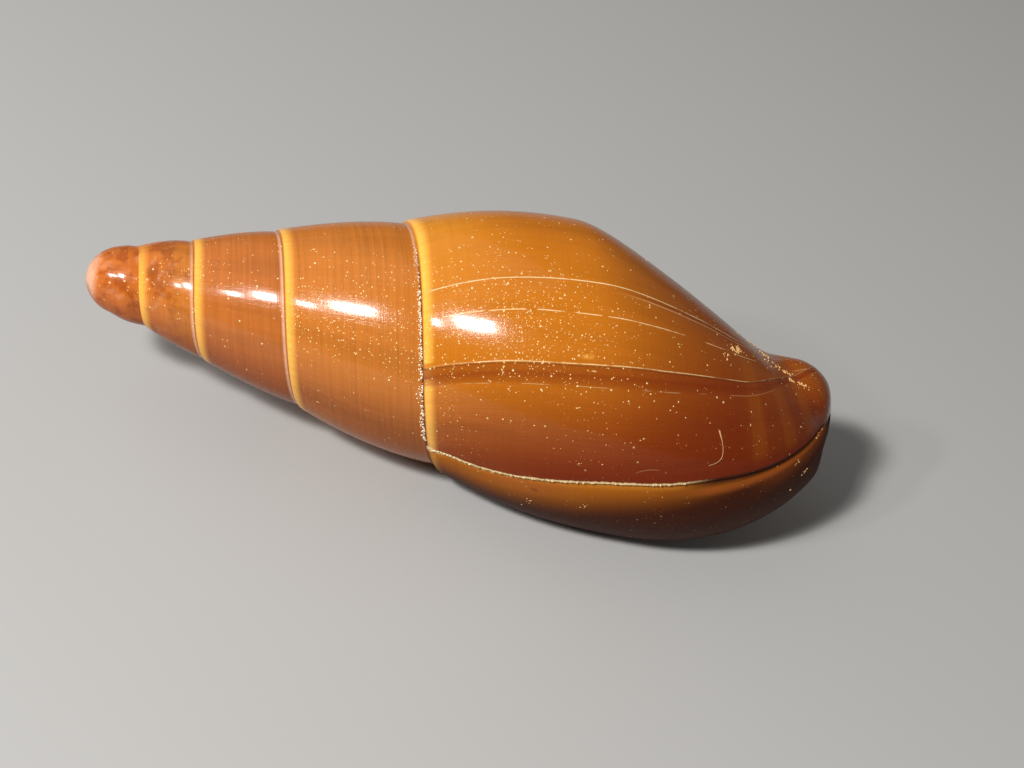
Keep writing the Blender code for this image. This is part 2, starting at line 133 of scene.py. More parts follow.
NECK_SLOPE_START = (-1.02, -0.67)

# growth lines fall behind the suture by these angles, in degrees
LAG_NEAR_SUTURE = (11.0, 18.5)
LAG_LATE_TURNS = (0.033, 0.194)
LAG_LATE_LIMIT = 1.2
LAG_DECAY = 2.5
LAG_ALONG_WHORL = 14.0
LAG_ALONG_TURNS = (-0.056, 0.194)
LAG_ALONG_LIMIT = 1.3
LAG_AT_FRONT = 16.0
LAG_AT_FRONT_TURNS = (-0.20, 0.0)
LAG_AT_FRONT_POWER = 8
LAG_HAND_OVER = (LAST_WHORL, LAST_WHORL + 0.28)

# old growth mark: the shell goes on a little further in
SCAR_TURN = 0.1954
SCAR_DROP_FRONT = 0.11
SCAR_DROP_FRONT_SHARES = (0.65, 0.95)
SCAR_FADE_AT_SUTURE = 0.05
SCAR_FADE_AT_FRONT = 0.94
SCAR_RECOVERY = 0.045
SCAR_WIDTH = 0.0012
SCAR_BEND_NEAR = 0.026
SCAR_BEND_NEAR_REACH = 1.6
SCAR_BEND_FAR = 0.015
SCAR_BEND_FAR_MM = ((3.2, 10.2), (13.0, 18.5))
SCAR_BEND_TURNS = (0.075, 0.315)

# hollow
LIP_WALL = 0.55
LIP_WALL_TURNS = 0.12
WALL_IN_NARROWS = 0.6
CALLUS = 0.08
HOLLOW_START_TURN = -2.35
HOLLOW_PAST_LIP = 0.035
HOLLOW_LEAST_GAP = 0.4
HOLLOW_FRONT_GAP = 1.3
HOLLOW_FRONT_WALL = 1.25
HOLLOW_OUTER_ROWS = 30
HOLLOW_INNER_ROWS = 64
HOLLOW_ROW_CROWDING = 1.3
HOLLOW_STEPS = (0.004, 0.01, 0.02)
HOLLOW_SEARCH_STEPS = (0.02, 0.05)
FOLD_PLACES = (0.235, 0.315, 0.39, 0.455)
FOLD_HEIGHTS = (0.42, 0.36, 0.29, 0.21)
FOLD_WIDTH = 0.024
FOLD_TURNS = (LIP_TURN + 0.02, LIP_TURN - 0.05)
NOTCH_TURNS = 0.05
NOTCH_FINISH = 38.5
NOTCH_LEAST_RADIUS = 1.3
LIP_EDGE_SHARES = (0.06, 0.2, 0.4, 0.65, 1.0)

# how the shell lies
REST_ROLL = 41.0
REST_HEIGHT = 6.29
GROUND_SIZE = 60.0
GROUND_DEPTH = 4.0

# growth lines that show: turn at the suture, slope, sweep near the front end
LINE_ONE = (-0.0505, 0.0009, 0.0055)
LINE_TWO = (-0.0135, 0.0007, 0.0035)
LINE_THREE = (0.0435, 0.0012, 0.0055)
LINE_SWEEP_FROM = 15.3

# grains along the suture and the old growth mark, sizes in mm
SUTURE_GRAIN_TURNS = (-0.13, 0.155)
SUTURE_GRAIN_SIZES = (0.010, 0.034)
SUTURE_GRAIN_SPREAD = 0.09
LARGER_GRAINS_FROM = -0.06
LARGER_SMALLER = (1.2, 0.8)
SCAR_GRAIN_PLACES = (18.0, 30.2)
SCAR_GRAIN_TURNS = (-0.0002, 0.0026)
SCAR_GRAIN_SIZES = (0.012, 0.04)
SUNK_IN = 0.35

# dust: shares round the bright spots, and of the last whorl together with them
DUST_SHARES = (0.45, 0.8)
BRIGHT_DUST_TURN = (0.01, 0.055)
BRIGHT_DUST_PLACE = (22.5, 3.4)
LAST_DUST_PLACES = (18.0, 36.0)
SPIRE_DUST_TURNS = (-2.6, -0.68)
DUST_SIZES = (0.008, 0.042)
DUST_SIZE_POWER = 6
DUST_FROM_SUTURE = 0.2
LEAST_DUST_HEIGHT = 0.4
FLAKE_SIZES = (0.5, 1.2)
FLAKE_RADIUS = 6.0
# crusts: place along the axis, turn, spread in mm, grain size in mm, count
FLAKES = (
    (20.55, 0.0487, 0.10, 0.055, 7), (20.93, 0.0698, 0.07, 0.05, 4), (21.20, -0.0164, 0.10, 0.05, 5),
    (24.29, 0.0864, 0.06, 0.05, 3), (32.78, 0.1018, 0.08, 0.03, 3), (24.22, 0.0229, 0.16, 0.03, 6),
    (31.72, -0.0359, 0.20, 0.055, 30), (31.20, -0.0115, 0.12, 0.04, 9), (32.93, -0.1417, 0.20, 0.05, 16),
    (33.58, -0.0993, 0.22, 0.05, 16), (34.11, -0.0690, 0.24, 0.05, 16), (34.68, -0.0577, 0.22, 0.05, 14),
    (35.06, -0.0270, 0.16, 0.05, 16), (35.63, -0.0161, 0.14, 0.05, 14), (35.43, -0.268, 0.18, 0.05, 10),
    (24.99, 0.1575, 0.05, 0.03, 4), (23.23, 0.2427, 0.08, 0.035, 5), (25.75, 0.2301, 0.08, 0.035, 5),
    (36.57, 0.2729, 0.10, 0.035, 6), (35.94, 0.2292, 0.12, 0.035, 7), (36.9, 0.2155, 0.10, 0.04, 9),
)
# lint fibre: place along the axis and angle in degrees, its lift and wave, thickness at both ends
FIBRE_PATH = ((31.22, 17.4), (31.32, 19.2), (31.45, 21.3), (31.56, 23.6), (31.64, 26.0),
              (31.66, 28.0), (31.60, 29.7), (31.45, 30.9), (31.27, 31.6), (31.08, 31.9))
FIBRE_LIFT = 1.1
FIBRE_WAVE = (0.8, 1.3)
FIBRE_THICK_POINTS = 2
FIBRE_THICK = 2.4
FIBRE_THINNING = 0.05
FIBRE_TURN_ROUNDS = 12

# the photograph's camera: the axis point nearest the apex and the middle point, in pixels
PIXEL = 0.05
FOCAL_PIXELS = 1911.26
AXIS_SLOPE = 10.4498
AXIS_LEAN = 4.2866
AXIS_START = (93.5837, 275.3979)
AXIS_MIDDLE = 375.0
IMAGE_SIZE = (1024, 768)
SENSOR = 36.0

# stage, in metres: the floor bends up behind the shell
CLIP = (0.005, 10.0)
SKY_COLOUR = (1.0, 0.98, 0.95, 1.0)
FLOOR_SIZE = 1.6
FLOOR_BEND_FROM = 0.35
FLOOR_BEND = 0.9
LIGHT_TARGET = Vector((0.0, 0.0, 0.006))


def srgb(red, green, blue):
    """linear colour for screen values from 0 to 255"""
    shares = []
    for value in (red, green, blue):
        x = value / 255.0
        shares.append(x / 12.92 if x <= 0.04045 else ((x + 0.055) / 1.055) ** 2.4)
    return tuple(shares)


def colour_property(name, description, default):
    return FloatVectorProperty(name=name, description=description, default=default, size=3,
                               min=0.0, max=1.0, subtype="COLOR")


def size_property(name, description, default, least=0.0, most=10.0):
    return FloatProperty(name=name, description=description, default=default, min=least, max=most)


def count_property(name, description, default, least=0):
    return IntProperty(name=name, description=description, default=default, min=least)


class ShellSizes(bpy.types.PropertyGroup):
    """sizes of the shell, in mm where they are lengths"""
    columns: count_property("Columns per whorl", "Mesh columns in one whorl", 150, 40)
    flank_rows: count_property("Side rows", "Mesh rows on a whorl's side", 26, 8)
    front_rows: count_property("Front rows", "Mesh rows in front of the widest place", 62, 16)
    suture_step: size_property(
        "Suture step", "How far a whorl stands out at its suture, in mm", 0.25, 0.0, 1.0)
    wall: size_property("Wall", "Thickness of the wall inside, in mm", 0.70, 0.3)
    lip_edge: size_property("Lip edge", "Radius of the rounded lip edge, in mm", 0.14, 0.02, 0.25)
    scar_depth: size_property(
        "Growth mark depth", "Step down after the old growth mark, in mm", 0.13, 0.0, 0.4)
    fold_size: size_property("Fold size", "Scale of the ridges on the column", 1.0, 0.0, 1.5)


class ShellColours(bpy.types.PropertyGroup):
    """colours of the shell"""
    golden: colour_property("Golden", "Young growth near the suture", srgb(206, 134, 40))
    caramel: colour_property("Caramel", "Most of the last whorl", srgb(174, 99, 18))
    # russet also paints shade on the underside of the spire and, along with the late growth's own
    # colour, towards the bottom of the last whorl
    russet: colour_property("Russet", "Late growth and front end", srgb(110, 34, 4))
    # umber is partly painted shade on the lower part of the newest growth
    umber: colour_property("Umber", "Newest growth past the growth mark", srgb(54, 13, 1))
    spire: colour_property("Spire", "Sides of the spire", srgb(174, 101, 36))
    mauve: colour_property("Mauve", "Third last whorl", srgb(158, 84, 38))
    apex: colour_property("Apex", "First whorls", srgb(180, 92, 32))
    tip: colour_property("Tip", "Worn tip", srgb(226, 178, 146))
    band: colour_property("Suture band", "Bright band in front of each suture", srgb(246, 184, 76))
    # the groove colour also paints the shadow under growth line three and, with dirt, shade in the step
    # of the old growth mark
    groove: colour_property("Groove", "Dark line in the suture", srgb(60, 24, 10))
    cream: colour_property("Cream", "Pale growth lines", srgb(236, 206, 150))
    # bright dots for dust and for painted glints round the highlights
    dust_and_painted_glint: colour_property("Glitter", "Fine dust that glints", srgb(252, 216, 146))
    inside: colour_property("Inside", "Inner wall", srgb(206, 206, 214))
    column: colour_property("Column", "Column and inner lip", srgb(122, 62, 30))


class DirtSettings(bpy.types.PropertyGroup):
    """what sticks to the shell"""
    suture_grains: count_property("Suture grains", "Grains along the last suture", 330)
    dust_specks: count_property("Dust specks", "Specks over the whole shell", 1300)
    fibre_radius: size_property("Fibre radius", "Radius of the lint fibre, in mm", 0.017, 0.01)
    grain_colour: colour_property("Grains", "Dry dirt", srgb(232, 216, 184))
    dust_colour: colour_property("Dust", "Dust specks", srgb(222, 172, 106))
    fibre_colour: colour_property("Fibre", "Lint fibre", srgb(204, 158, 100))


class StageSettings(bpy.types.PropertyGroup):
    """floor and lights"""
    floor_colour: colour_property("Floor", "Plain pale floor", (0.385, 0.376, 0.362))
    key_power: size_property("Main light", "Power of the main light, in watts", 0.50)
    fill_power: size_property("Top light", "Power of the soft light above, in watts", 0.29)
    glint_power: size_property("Glint light", "Power of the small hard light, in watts", 0.20)
    sky: size_property("Sky", "Strength of the even light", 0.15)


def sizes():
    return bpy.context.scene.mitre_sizes


def share_between(x, start, finish, most=1.0):
    """0 at the start, 1 at the finish, no less and no more than most"""
    return min(max((x - start) / (finish - start), 0.0), most)


def ease(x, start, finish):
    """smooth change from 0 at the start to 1 at the finish"""
    x = share_between(x, start, finish)
    return x * x * (3.0 - 2.0 * x)


def between(pair, share):
    return pair[0] + (pair[1] - pair[0]) * share


def smooth_max(a, b, width):
    h = min(max(0.5 + 0.5 * (a - b) / width, 0.0), 1.0)
    return b * (1.0 - h) + a * h + width * h * (1.0 - h)


def suture_radius(t):
    full = max(t, TIP_TURNS[1])
    rounding = 1.0 - (1.0 - share_between(t, *TIP_TURNS)) ** TIP_CURVE
    radius = SUTURE_RADIUS * math.exp(RADIUS_GROWTH * full - RADIUS_SLOWING * full * full)
    return radius * (1.0 + EARLY_RADIUS * ease(full, *EARLY_TURNS)) * rounding


def suture_place(t):
    full = max(t, TIP_TURNS[1])
    reach = SUTURE_REACH * math.exp(REACH_GROWTH * full - REACH_SLOWING * full * full)
    reach += EARLY_REACH * ease(full, *EARLY_TURNS) - REACH_OFFSET
    return TIP_POSITION + (reach - TIP_POSITION) * share_between(t, *TIP_TURNS)


def step_height(t):
    """how far the whorl stands out from the one before it at its suture"""
    return sizes().suture_step * min(suture_radius(t - 1.0) / SUTURE_RADIUS, LARGEST_STEP)


def groove_radius(t):
    return suture_radius(t) - step_height(t)


def flank_curve(t):
    return (between((FLANK_CURVE_SPIRE, FLANK_CURVE_BODY), ease(t, *FLANK_BODY_TURNS))
            + (TIP_CURVE - FLANK_CURVE_SPIRE) * ease(t, *FLANK_TIP_TURNS))


def flank_radius(t, s):
    x = share_between(s, suture_place(t + 1.0), suture_place(t))
    widest = groove_radius(t + 1.0)
    return widest - (widest - suture_radius(t)) * x ** flank_curve(t)


def front_radius(t, s):
    """the whorl in front of its widest place, narrower in the older growth"""
    start = suture_place(t + 1.0)
    w = ease(t, FRONT_OLD_TURN, LIP_TURN)
    length = between(FRONT_LENGTHS, w) * math.exp(FRONT_SHRINK * min(t - FRONT_OLD_TURN, 0.0))
    y = share_between(s, start, start + length)
    rounding = between(WIDEST_ROUNDINGS, ease(t, *WIDEST_ROUNDING_TURNS))
    y = (math.hypot(y, rounding) - rounding) / (math.hypot(1.0, rounding) - rounding)
    share = max(1.0 - y ** between(FRONT_POWERS, w), 0.0) ** (1.0 / between(FRONT_ROOTS, w))
    return groove_radius(t + 1.0) * share


def neck_radius(t, s):
    """column at the front end, with the slope that joins it to the older growth behind it"""
    size = NECK_RADIUS * math.exp(NECK_SHRINK * min(t - LAST_WHORL, 0.0))
    x = share_between(s, FRONT_END - NECK_RADIUS, FRONT_END)
    back = max(NECK_SLOPE_FROM - s, 0.0)
    spread = NECK_SLOPE * back * back / (back + NECK_SLOPE_EASE)
    spread *= ease(t, *NECK_SLOPE_STOP) * ease(t, *NECK_SLOPE_START)
    start = suture_place(t + 1.0)
    spread *= ease(s, start, start + NECK_SLOPE_REACH)
    return size * (math.sqrt(1.0 - x * x) + spread / NECK_RADIUS)


def end_rounding(s):
    x = share_between(s, FRONT_END - END_ROUNDING, FRONT_END)
    return math.sqrt(1.0 - x * x)


def scar_bend(d):
    """turns by which the old growth mark runs ahead of its mean turn, at distance d from the suture"""
    start, stop = SCAR_BEND_FAR_MM
    far = ease(d, *start) * (1.0 - ease(d, *stop))
    return SCAR_BEND_NEAR * math.exp(-(d / SCAR_BEND_NEAR_REACH) ** 2) + SCAR_BEND_FAR * far


def past_scar(t, s):
    """turns of growth since the old growth mark"""
    return t - SCAR_TURN + scar_bend(s - suture_place(t))


def bent_turn(t, s):
    """turn of column t at place s, so that the column at the old growth mark follows it"""
    share = ease(t, SCAR_BEND_TURNS[0], SCAR_TURN) * (1.0 - ease(t, SCAR_TURN, SCAR_BEND_TURNS[1]))
    return t - share * scar_bend(s - suture_place(t))


def scar_drop(t, s):
    """the newer growth starts a little further in than the old edge"""
    past = past_scar(t, s)
    if past <= 0.0:
        return 0.0
    u = (s - suture_place(t)) / (FRONT_END - suture_place(t))
    depth = sizes().scar_depth + SCAR_DROP_FRONT * ease(u, *SCAR_DROP_FRONT_SHARES)
    depth *= ease(u, 0.0, SCAR_FADE_AT_SUTURE) * ease(u, 1.0, SCAR_FADE_AT_FRONT)
    return depth * ease(past, 0.0, SCAR_WIDTH) * math.exp(-past / SCAR_RECOVERY)


def full_radius(t, s):
    """outside of the body whorl, before the lip's edge is rounded"""
    whorl = flank_radius(t, s) if s < suture_place(t + 1.0) else front_radius(t, s)
    old = ease(t, SCAR_TURN, SCAR_TURN - NECK_BLEND_TURNS) * ease(t, *NECK_BLEND_START)
    whorl = smooth_max(whorl, neck_radius(t, s), between(NECK_BLENDS, old))
    return (whorl - scar_drop(t, s)) * end_rounding(s)


def lip_edge_turns():
    return sizes().lip_edge / (FULL_TURN * suture_radius(LIP_TURN + 1.0))


def lip_rounding(t):
    """how far the wall's faces draw together at the rounded lip edge, in mm"""
    x = share_between(t, LIP_TURN - lip_edge_turns(), LIP_TURN)
    return sizes().lip_edge * (1.0 - math.sqrt(1.0 - x * x))


def outer_radius(t, s):
    return full_radius(t, s) - lip_rounding(t) * end_rounding(s)


def growth_lag(t, s):
    """degrees by which the growth line of turn t lies behind its suture end"""
    reach = max(s - suture_place(t), 0.0)
    u = reach / (FRONT_END - suture_place(t))
    late = share_between(t, *LAG_LATE_TURNS, LAG_LATE_LIMIT)
    near = between(LAG_NEAR_SUTURE, late / LAG_LATE_LIMIT)
    lag = near * (1.0 - math.exp(-reach / (LAG_DECAY - min(late, 1.0))))
    lag += LAG_ALONG_WHORL * share_between(t, *LAG_ALONG_TURNS, LAG_ALONG_LIMIT) * u
    return lag + LAG_AT_FRONT * share_between(t, *LAG_AT_FRONT_TURNS) * u ** LAG_AT_FRONT_POWER


def column_angle(t, s):
    """angle in radians on the body whorl, 0 on the viewer's side and growing downwards"""
    own = ease(t, *LAG_HAND_OVER)
    lag = own * growth_lag(t, s)
    if own < 1.0:
        lag += (1.0 - own) * growth_lag(t + 1.0, s)
    return t * FULL_TURN - math.radians(lag)


def worn_radius(s, radius):
    """the first whorls are worn to a round dome"""
    if s >= DOME_MM[1]:
        return radius
    x = min((s - TIP_POSITION) / DOME_LENGTH, 1.0)
    dome = DOME_RADIUS * math.sqrt(1.0 - (1.0 - x) ** 2) + DOME_SLOPE * (s - TIP_POSITION)
    return between((dome, radius), ease(s, *DOME_MM))


def shell_point(s, angle, radius):
    return Vector((s, -radius * math.cos(angle), -radius * math.sin(angle))) * MM


class Column:
    """one growth line: its vertices and where each lies on the whorl"""

    def __init__(self):
        self.vertices = []
        self.maps = []

    def add(self, vertex, t, s, depth=0.0):
        self.vertices.append(vertex)
        self.maps.append(((t, s - suture_place(t)), (suture_place(t + 1.0) - s, depth),
                          (past_scar(t, s), 0.0)))

    def picked(self, rows):
        """a column of some of the rows"""
        piece = Column()
        piece.vertices = [self.vertices[i] for i in rows]
        piece.maps = [self.maps[i] for i in rows]
        return piece

    def corner(self, i):
        return self.vertices[i], self.maps[i]


class ShellMesh:
    """a mesh whose corners know their turn and their place on the whorl"""

    def __init__(self):
        self.mesh = bmesh.new()
        for name in MAP_NAMES:
            self.mesh.loops.layers.uv.new(name)
        self.layers = [self.mesh.loops.layers.uv[name] for name in MAP_NAMES]

    def vertex(self, s, angle, radius):
        return self.mesh.verts.new(shell_point(s, angle, worn_radius(s, radius)))

    def face(self, corners):
        seen = []
        for corner in corners:
            if corner[0] not in [other[0] for other in seen]:
                seen.append(corner)
        if len(seen) < 3:
            return
        made = self.mesh.faces.new([corner[0] for corner in seen])
        for loop, corner in zip(made.loops, seen):
            for layer, place in zip(self.layers, corner[1]):
                loop[layer].uv = place

    def ring(self, first, second):
        for i in range(min(len(first.vertices), len(second.vertices)) - 1):
            self.face([first.corner(i), second.corner(i), second.corner(i + 1), first.corner(i + 1)])

    def zip(self, inner, outer):
        """triangles between two columns of unlike length that share their end points"""
        i = 0
        j = 0
        last_i = len(inner.vertices) - 1
        last_j = len(outer.vertices) - 1
        while i < last_i or j < last_j:
            step_outer = i == last_i or (
                j < last_j and outer.vertices[j + 1].co.x < inner.vertices[i + 1].co.x)
            if step_outer:
                self.face([inner.corner(i), outer.corner(j), outer.corner(j + 1)])
                j += 1
            else:
                self.face([inner.corner(i), outer.corner(j), inner.corner(i + 1)])
                i += 1


def flank_places(t, finish):
    """places along the axis from the groove of turn t to the finish"""
    start = suture_place(t)
    first = max(step_height(t), SHOULDER_SHARE * (finish - start))
    places = [start + first * x for x in SHOULDER_PLACES]
    shoulder = places[-1]
    rest = sizes().flank_rows - len(SHOULDER_PLACES) + 1
    return places + [shoulder + (finish - shoulder) * row / rest for row in range(1, rest + 1)]


def flank_column_points(t):
    finish = suture_place(t + 1.0)
    points = []
    for row, s in enumerate(flank_places(t, finish)):
        turn = bent_turn(t, s) if t >= LAST_WHORL else t
        radius = outer_radius(turn, s) if t >= LAST_WHORL else flank_radius(t, s)
        if row < len(SHOULDER_DROPS):
            radius -= step_height(t) * SHOULDER_DROPS[row]
        points.append((turn, s, radius))
    points[0] = (t, points[0][1], groove_radius(t))
    if t <= LAST_WHORL:
        points[-1] = (t, finish, groove_radius(t + 1.0))
    return points


def front_column_points(t):
    start = suture_place(t + 1.0)
    rows = sizes().front_rows
    points = []
    for row in range(1, rows):
        s = start + (FRONT_END - start) * (1.0 - (1.0 - row / rows) ** FRONT_ROW_CROWDING)
        turn = bent_turn(t, s)
        points.append((turn, s, outer_radius(turn, s)))
    return points


def whorl_steps():
    """turns of the columns in one whorl, counted back from the lip"""
    count = sizes().columns
    steps = [k / count for k in range(count)]
    steps += [lip_edge_turns() * x for x in LIP_EDGE_SHARES]
    steps += [LIP_TURN - SCAR_TURN - SCAR_WIDTH * x for x in (0.0, 0.25, 0.5, 1.0, 3.0)]
    return sorted(steps)


def column_turns():
    """turns of all the columns from the tip to the lip, the same places in every whorl"""
    steps = whorl_steps()
    turns = []
    whorl = 0
    while True:
        for step in steps:
            t = LIP_TURN - whorl - step
            if t <= TIP_TURNS[0]:
                return list(reversed(turns + [TIP_TURNS[0]])), len(steps)
            turns.append(t)
        whorl += 1


def build_cap(shell, tip, grooves, turns, per_whorl):
    """dome inside the first turn of the groove, returns its last column"""
    places = flank_places(turns[0], suture_place(turns[0] + 1.0))
    shares = [(s - places[0]) / (places[-1] - places[0]) for s in places[1:-1]]
    previous = None
    for k in range(2, per_whorl + 1):
        finish = suture_place(turns[k])
        before = turns[k] - 1.0
        column = Column()
        column.add(tip, before, TIP_POSITION)
        for x in shares:
            radius = groove_radius(turns[k]) * (1.0 - (1.0 - x) ** TIP_CURVE)
            s = TIP_POSITION + (finish - TIP_POSITION) * x
            column.add(shell.vertex(s, turns[k] * FULL_TURN, radius), before, s)
        column.add(grooves[k], before, finish)
        if previous is None:
            first = Column()
            first.add(grooves[1], turns[1] - 1.0, suture_place(turns[1]))
            corners = [first.corner(0)] + [column.corner(i) for i in range(len(column.vertices))]
            shell.face(corners)
        else:
            shell.ring(previous, column)
        previous = column
    return previous


def build_body():
    """the shell as if it were full"""
    shell = ShellMesh()
    turns, per_whorl = column_turns()
    body_start = len(turns) - 1 - per_whorl
    tip = shell.vertex(TIP_POSITION, 0.0, 0.0)
    front_tip = shell.vertex(FRONT_END, 0.0, 0.0)
    grooves = [tip]
    for t in turns[1:]:
        grooves.append(shell.vertex(suture_place(t), t * FULL_TURN, groove_radius(t)))
    previous = build_cap(shell, tip, grooves, turns, per_whorl)
    for k in range(1, len(turns)):
        t = turns[k]
        points = flank_column_points(t)
        column = Column()
        column.add(grooves[k], t, suture_place(t))
        for turn, s, radius in points[1:-1]:
            angle = column_angle(turn, s) if k > body_start else t * FULL_TURN
            column.add(shell.vertex(s, angle, radius), turn, s)
        turn, s, radius = points[-1]
        if k <= body_start:
            column.add(grooves[k + per_whorl], t, s)
        else:
            column.add(shell.vertex(s, column_angle(turn, s), radius), turn, s)
        if k >= body_start:
            for turn, s, radius in front_column_points(t):
                column.add(shell.vertex(s, column_angle(turn, s), radius), turn, s)
            column.add(front_tip, t, FRONT_END)
        shell.ring(previous, column)
        if k == body_start:
            lip_start = Column()
            for vertex in column.vertices[sizes().flank_rows:]:
                lip_start.add(vertex, LIP_TURN, vertex.co.x / MM)
        previous = column
    shell.zip(lip_start, previous)
    return shell.mesh


def hollow_gap(t, s):
    return full_radius(t, s) - full_radius(t - 1.0, s)


def wall_thickness(t, gap):
    wall = between((sizes().wall, LIP_WALL), ease(t, LIP_TURN - LIP_WALL_TURNS, LIP_TURN))
    return wall * (1.0 - math.exp(-WALL_IN_NARROWS * gap / wall))


def whorl_size(t):
    return suture_radius(t) / suture_radius(LIP_TURN)


def fold_height(t, s):
    """spiral ridges on the column, fading out at the inner lip"""
    reach = (FRONT_END - suture_place(LIP_TURN)) * whorl_size(t)
    height = 0.0
    for place, top in zip(FOLD_PLACES, FOLD_HEIGHTS):
        x = (s - suture_place(t) - place * reach) / (FOLD_WIDTH * reach)
        height += top * math.exp(-x * x)
    return height * ease(t, *FOLD_TURNS) * whorl_size(t) * sizes().fold_size


def hollow_limits(t):
    start = suture_place(t)
    fine, coarse = HOLLOW_SEARCH_STEPS
    while hollow_gap(t, start) < HOLLOW_LEAST_GAP:
        start += fine
    finish = start
    last = FRONT_END - HOLLOW_FRONT_WALL
    while finish < last and hollow_gap(t, finish + coarse) > HOLLOW_LEAST_GAP:
        finish += coarse
    while hollow_gap(t, finish) < HOLLOW_FRONT_GAP * whorl_size(t) and finish > start + 1.0:
        finish -= coarse
    return start, finish


def hollow_section(t):
    """closed ring of points (s, r, depth): out along the wall, back along the column"""
    start, finish = hollow_limits(t)
    open_part = share_between(t, LIP_TURN - NOTCH_TURNS, LIP_TURN)
    finish += (NOTCH_FINISH - finish) * math.sqrt(1.0 - (1.0 - open_part) ** 2)
    ring = []
    for i in range(HOLLOW_OUTER_ROWS + 1):
        share = 1.0 - (1.0 - i / HOLLOW_OUTER_ROWS) ** HOLLOW_ROW_CROWDING
        s = start + (finish - start) * share
        near = min(s, FRONT_END - END_ROUNDING)
        radius = full_radius(t, near) - wall_thickness(t, hollow_gap(t, near))
        ring.append((s, radius + lip_rounding(t), 1.0))
    for i in range(HOLLOW_INNER_ROWS, -1, -1):
        s = start + (finish - start) * i / HOLLOW_INNER_ROWS
        radius = full_radius(t - 1.0, s) + CALLUS + fold_height(t, s)
        ring.append((s, max(radius, NOTCH_LEAST_RADIUS * whorl_size(t)), 2.0))
    return ring


def hollow_turns():
    edge = lip_edge_turns()
    turns = [LIP_TURN + HOLLOW_PAST_LIP, LIP_TURN + 0.3 * HOLLOW_PAST_LIP]
    turns += [LIP_TURN - edge * x for x in (0.0,) + LIP_EDGE_SHARES]
    t = LIP_TURN - 2.0 * edge
    while t > HOLLOW_START_TURN:
        turns.append(t)
        if t > LIP_TURN - NOTCH_TURNS - HOLLOW_STEPS[0]:
            t -= HOLLOW_STEPS[0]
        else:
            t -= HOLLOW_STEPS[1] if t > 0.0 else HOLLOW_STEPS[2]
    return turns


def build_hollow():
    """the room inside the last whorls, running out through the aperture"""
    shell = ShellMesh()
    first = None
    previous = None
    for t in hollow_turns():
        column = Column()
        for s, radius, depth in hollow_section(t):
            angle = t * FULL_TURN - math.radians(growth_lag(t, s))
            column.add(shell.vertex(s, angle, radius), t, s, depth)
        rows = list(range(len(column.vertices)))
        closed = column.picked(rows + [0])
        growth, whorl, marks = column.maps[0]
        closed.maps[-1] = (growth, (whorl[0], 2.0), marks)
        if previous is None:
            first = column
        else:
            shell.ring(previous, closed)
        previous = closed
    half = HOLLOW_OUTER_ROWS + 1
    for column in (first, previous):
        inner = column.picked([0] + rows[:half - 1:-1] + [half - 1])
        shell.zip(inner, column.picked(rows[:half]))
    return shell.mesh


def resting_place(mesh):
    """puts the shell on the ground with its outline centred on the origin"""
    turned = Matrix.Rotation(math.radians(-REST_ROLL), 4, "X")
    spots = [turned @ vertex.co for vertex in mesh.verts]
    middle_x = 0.5 * (min(p.x for p in spots) + max(p.x for p in spots))
    middle_y = 0.5 * (min(p.y for p in spots) + max(p.y for p in spots))
    return Matrix.Translation((-middle_x, -middle_y, REST_HEIGHT * MM)) @ turned


def deselect():
    if bpy.context.object and bpy.context.object.mode != "OBJECT":
        bpy.ops.object.mode_set(mode="OBJECT")
    bpy.ops.object.select_all(action="DESELECT")


def make_active(piece):
    deselect()
    piece.select_set(True)
    bpy.context.view_layer.objects.active = piece


def mesh_object(name, mesh):
    bmesh.ops.recalc_face_normals(mesh, faces=mesh.faces)
    bmesh.ops.triangulate(mesh, faces=mesh.faces)
    data = bpy.data.meshes.new(name)
    mesh.to_mesh(data)
    mesh.free()
    made = bpy.data.objects.new(name, data)
    bpy.context.scene.collection.objects.link(made)
    return made


def cut_away(target, cutter):
    """takes the cutter's room out of the target and removes the cutter"""
    make_active(target)
    modifier = target.modifiers.new("cut", "BOOLEAN")
    modifier.operation = "DIFFERENCE"
    modifier.solver = "EXACT"
    modifier.object = cutter
    bpy.ops.object.modifier_apply(modifier=modifier.name)
    bpy.data.objects.remove(cutter)


def mark_faces(piece):
    """gives every corner of the piece a turn that no shell corner has"""
    for name in MAP_NAMES:
        layer = piece.data.uv_layers.new(name=name)
        for corner in layer.data:
            corner.uv = (GROUND_MARK, 0.0)


def fill_marked_faces(piece):
    """corners of marked faces take the maps of another face at the same vertex"""
    layers = [piece.data.uv_layers[name].data for name in MAP_NAMES]
    known = {}
    marked = []
    for corner in piece.data.loops:
        if layers[0][corner.index].uv.x > GROUND_MARK - 1.0:
            marked.append(corner)
        else:
            known[corner.vertex_index] = [layer[corner.index].uv.copy() for layer in layers]
    for corner in marked:
        for layer, place in zip(layers, known.get(corner.vertex_index, [])):
            layer[corner.index].uv = place


def cover(piece, material):
    """gives the selected piece its only material and smooth shading"""
    piece.data.materials.clear()
    piece.data.materials.append(material)
    bpy.ops.object.shade_smooth()


def outside_point(s, t):
    if t > LAST_WHORL:
        return shell_point(s, column_angle(t, s), outer_radius(t, s))
    return shell_point(s, t * FULL_TURN, worn_radius(s, flank_radius(t, s)))


def outside_place(s, t):
    """point and outward direction on the outside at turn t and place s"""
    point = outside_point(s, t)
    outward = (outside_point(s + 0.02, t) - point).cross(outside_point(s, t + 0.001) - point)
    if outward.dot(Vector((0.0, point.y, point.z))) < 0.0:
        outward.negate()
    return point, outward.normalized()


PLACE = {}


class Amount:
    """a number from a node socket, ready for arithmetic"""

    def __init__(self, paint, socket):
        self.paint = paint
        self.socket = socket

    def __add__(self, other):
        return self.paint.maths("ADD", self, other)

    __radd__ = __add__

    def __sub__(self, other):
        return self.paint.maths("SUBTRACT", self, other)

    def __rsub__(self, other):
        return self.paint.maths("SUBTRACT", other, self)

    def __mul__(self, other):
        return self.paint.maths("MULTIPLY", self, other)

    __rmul__ = __mul__

    def __truediv__(self, other):
        return self.paint.maths("DIVIDE", self, other)


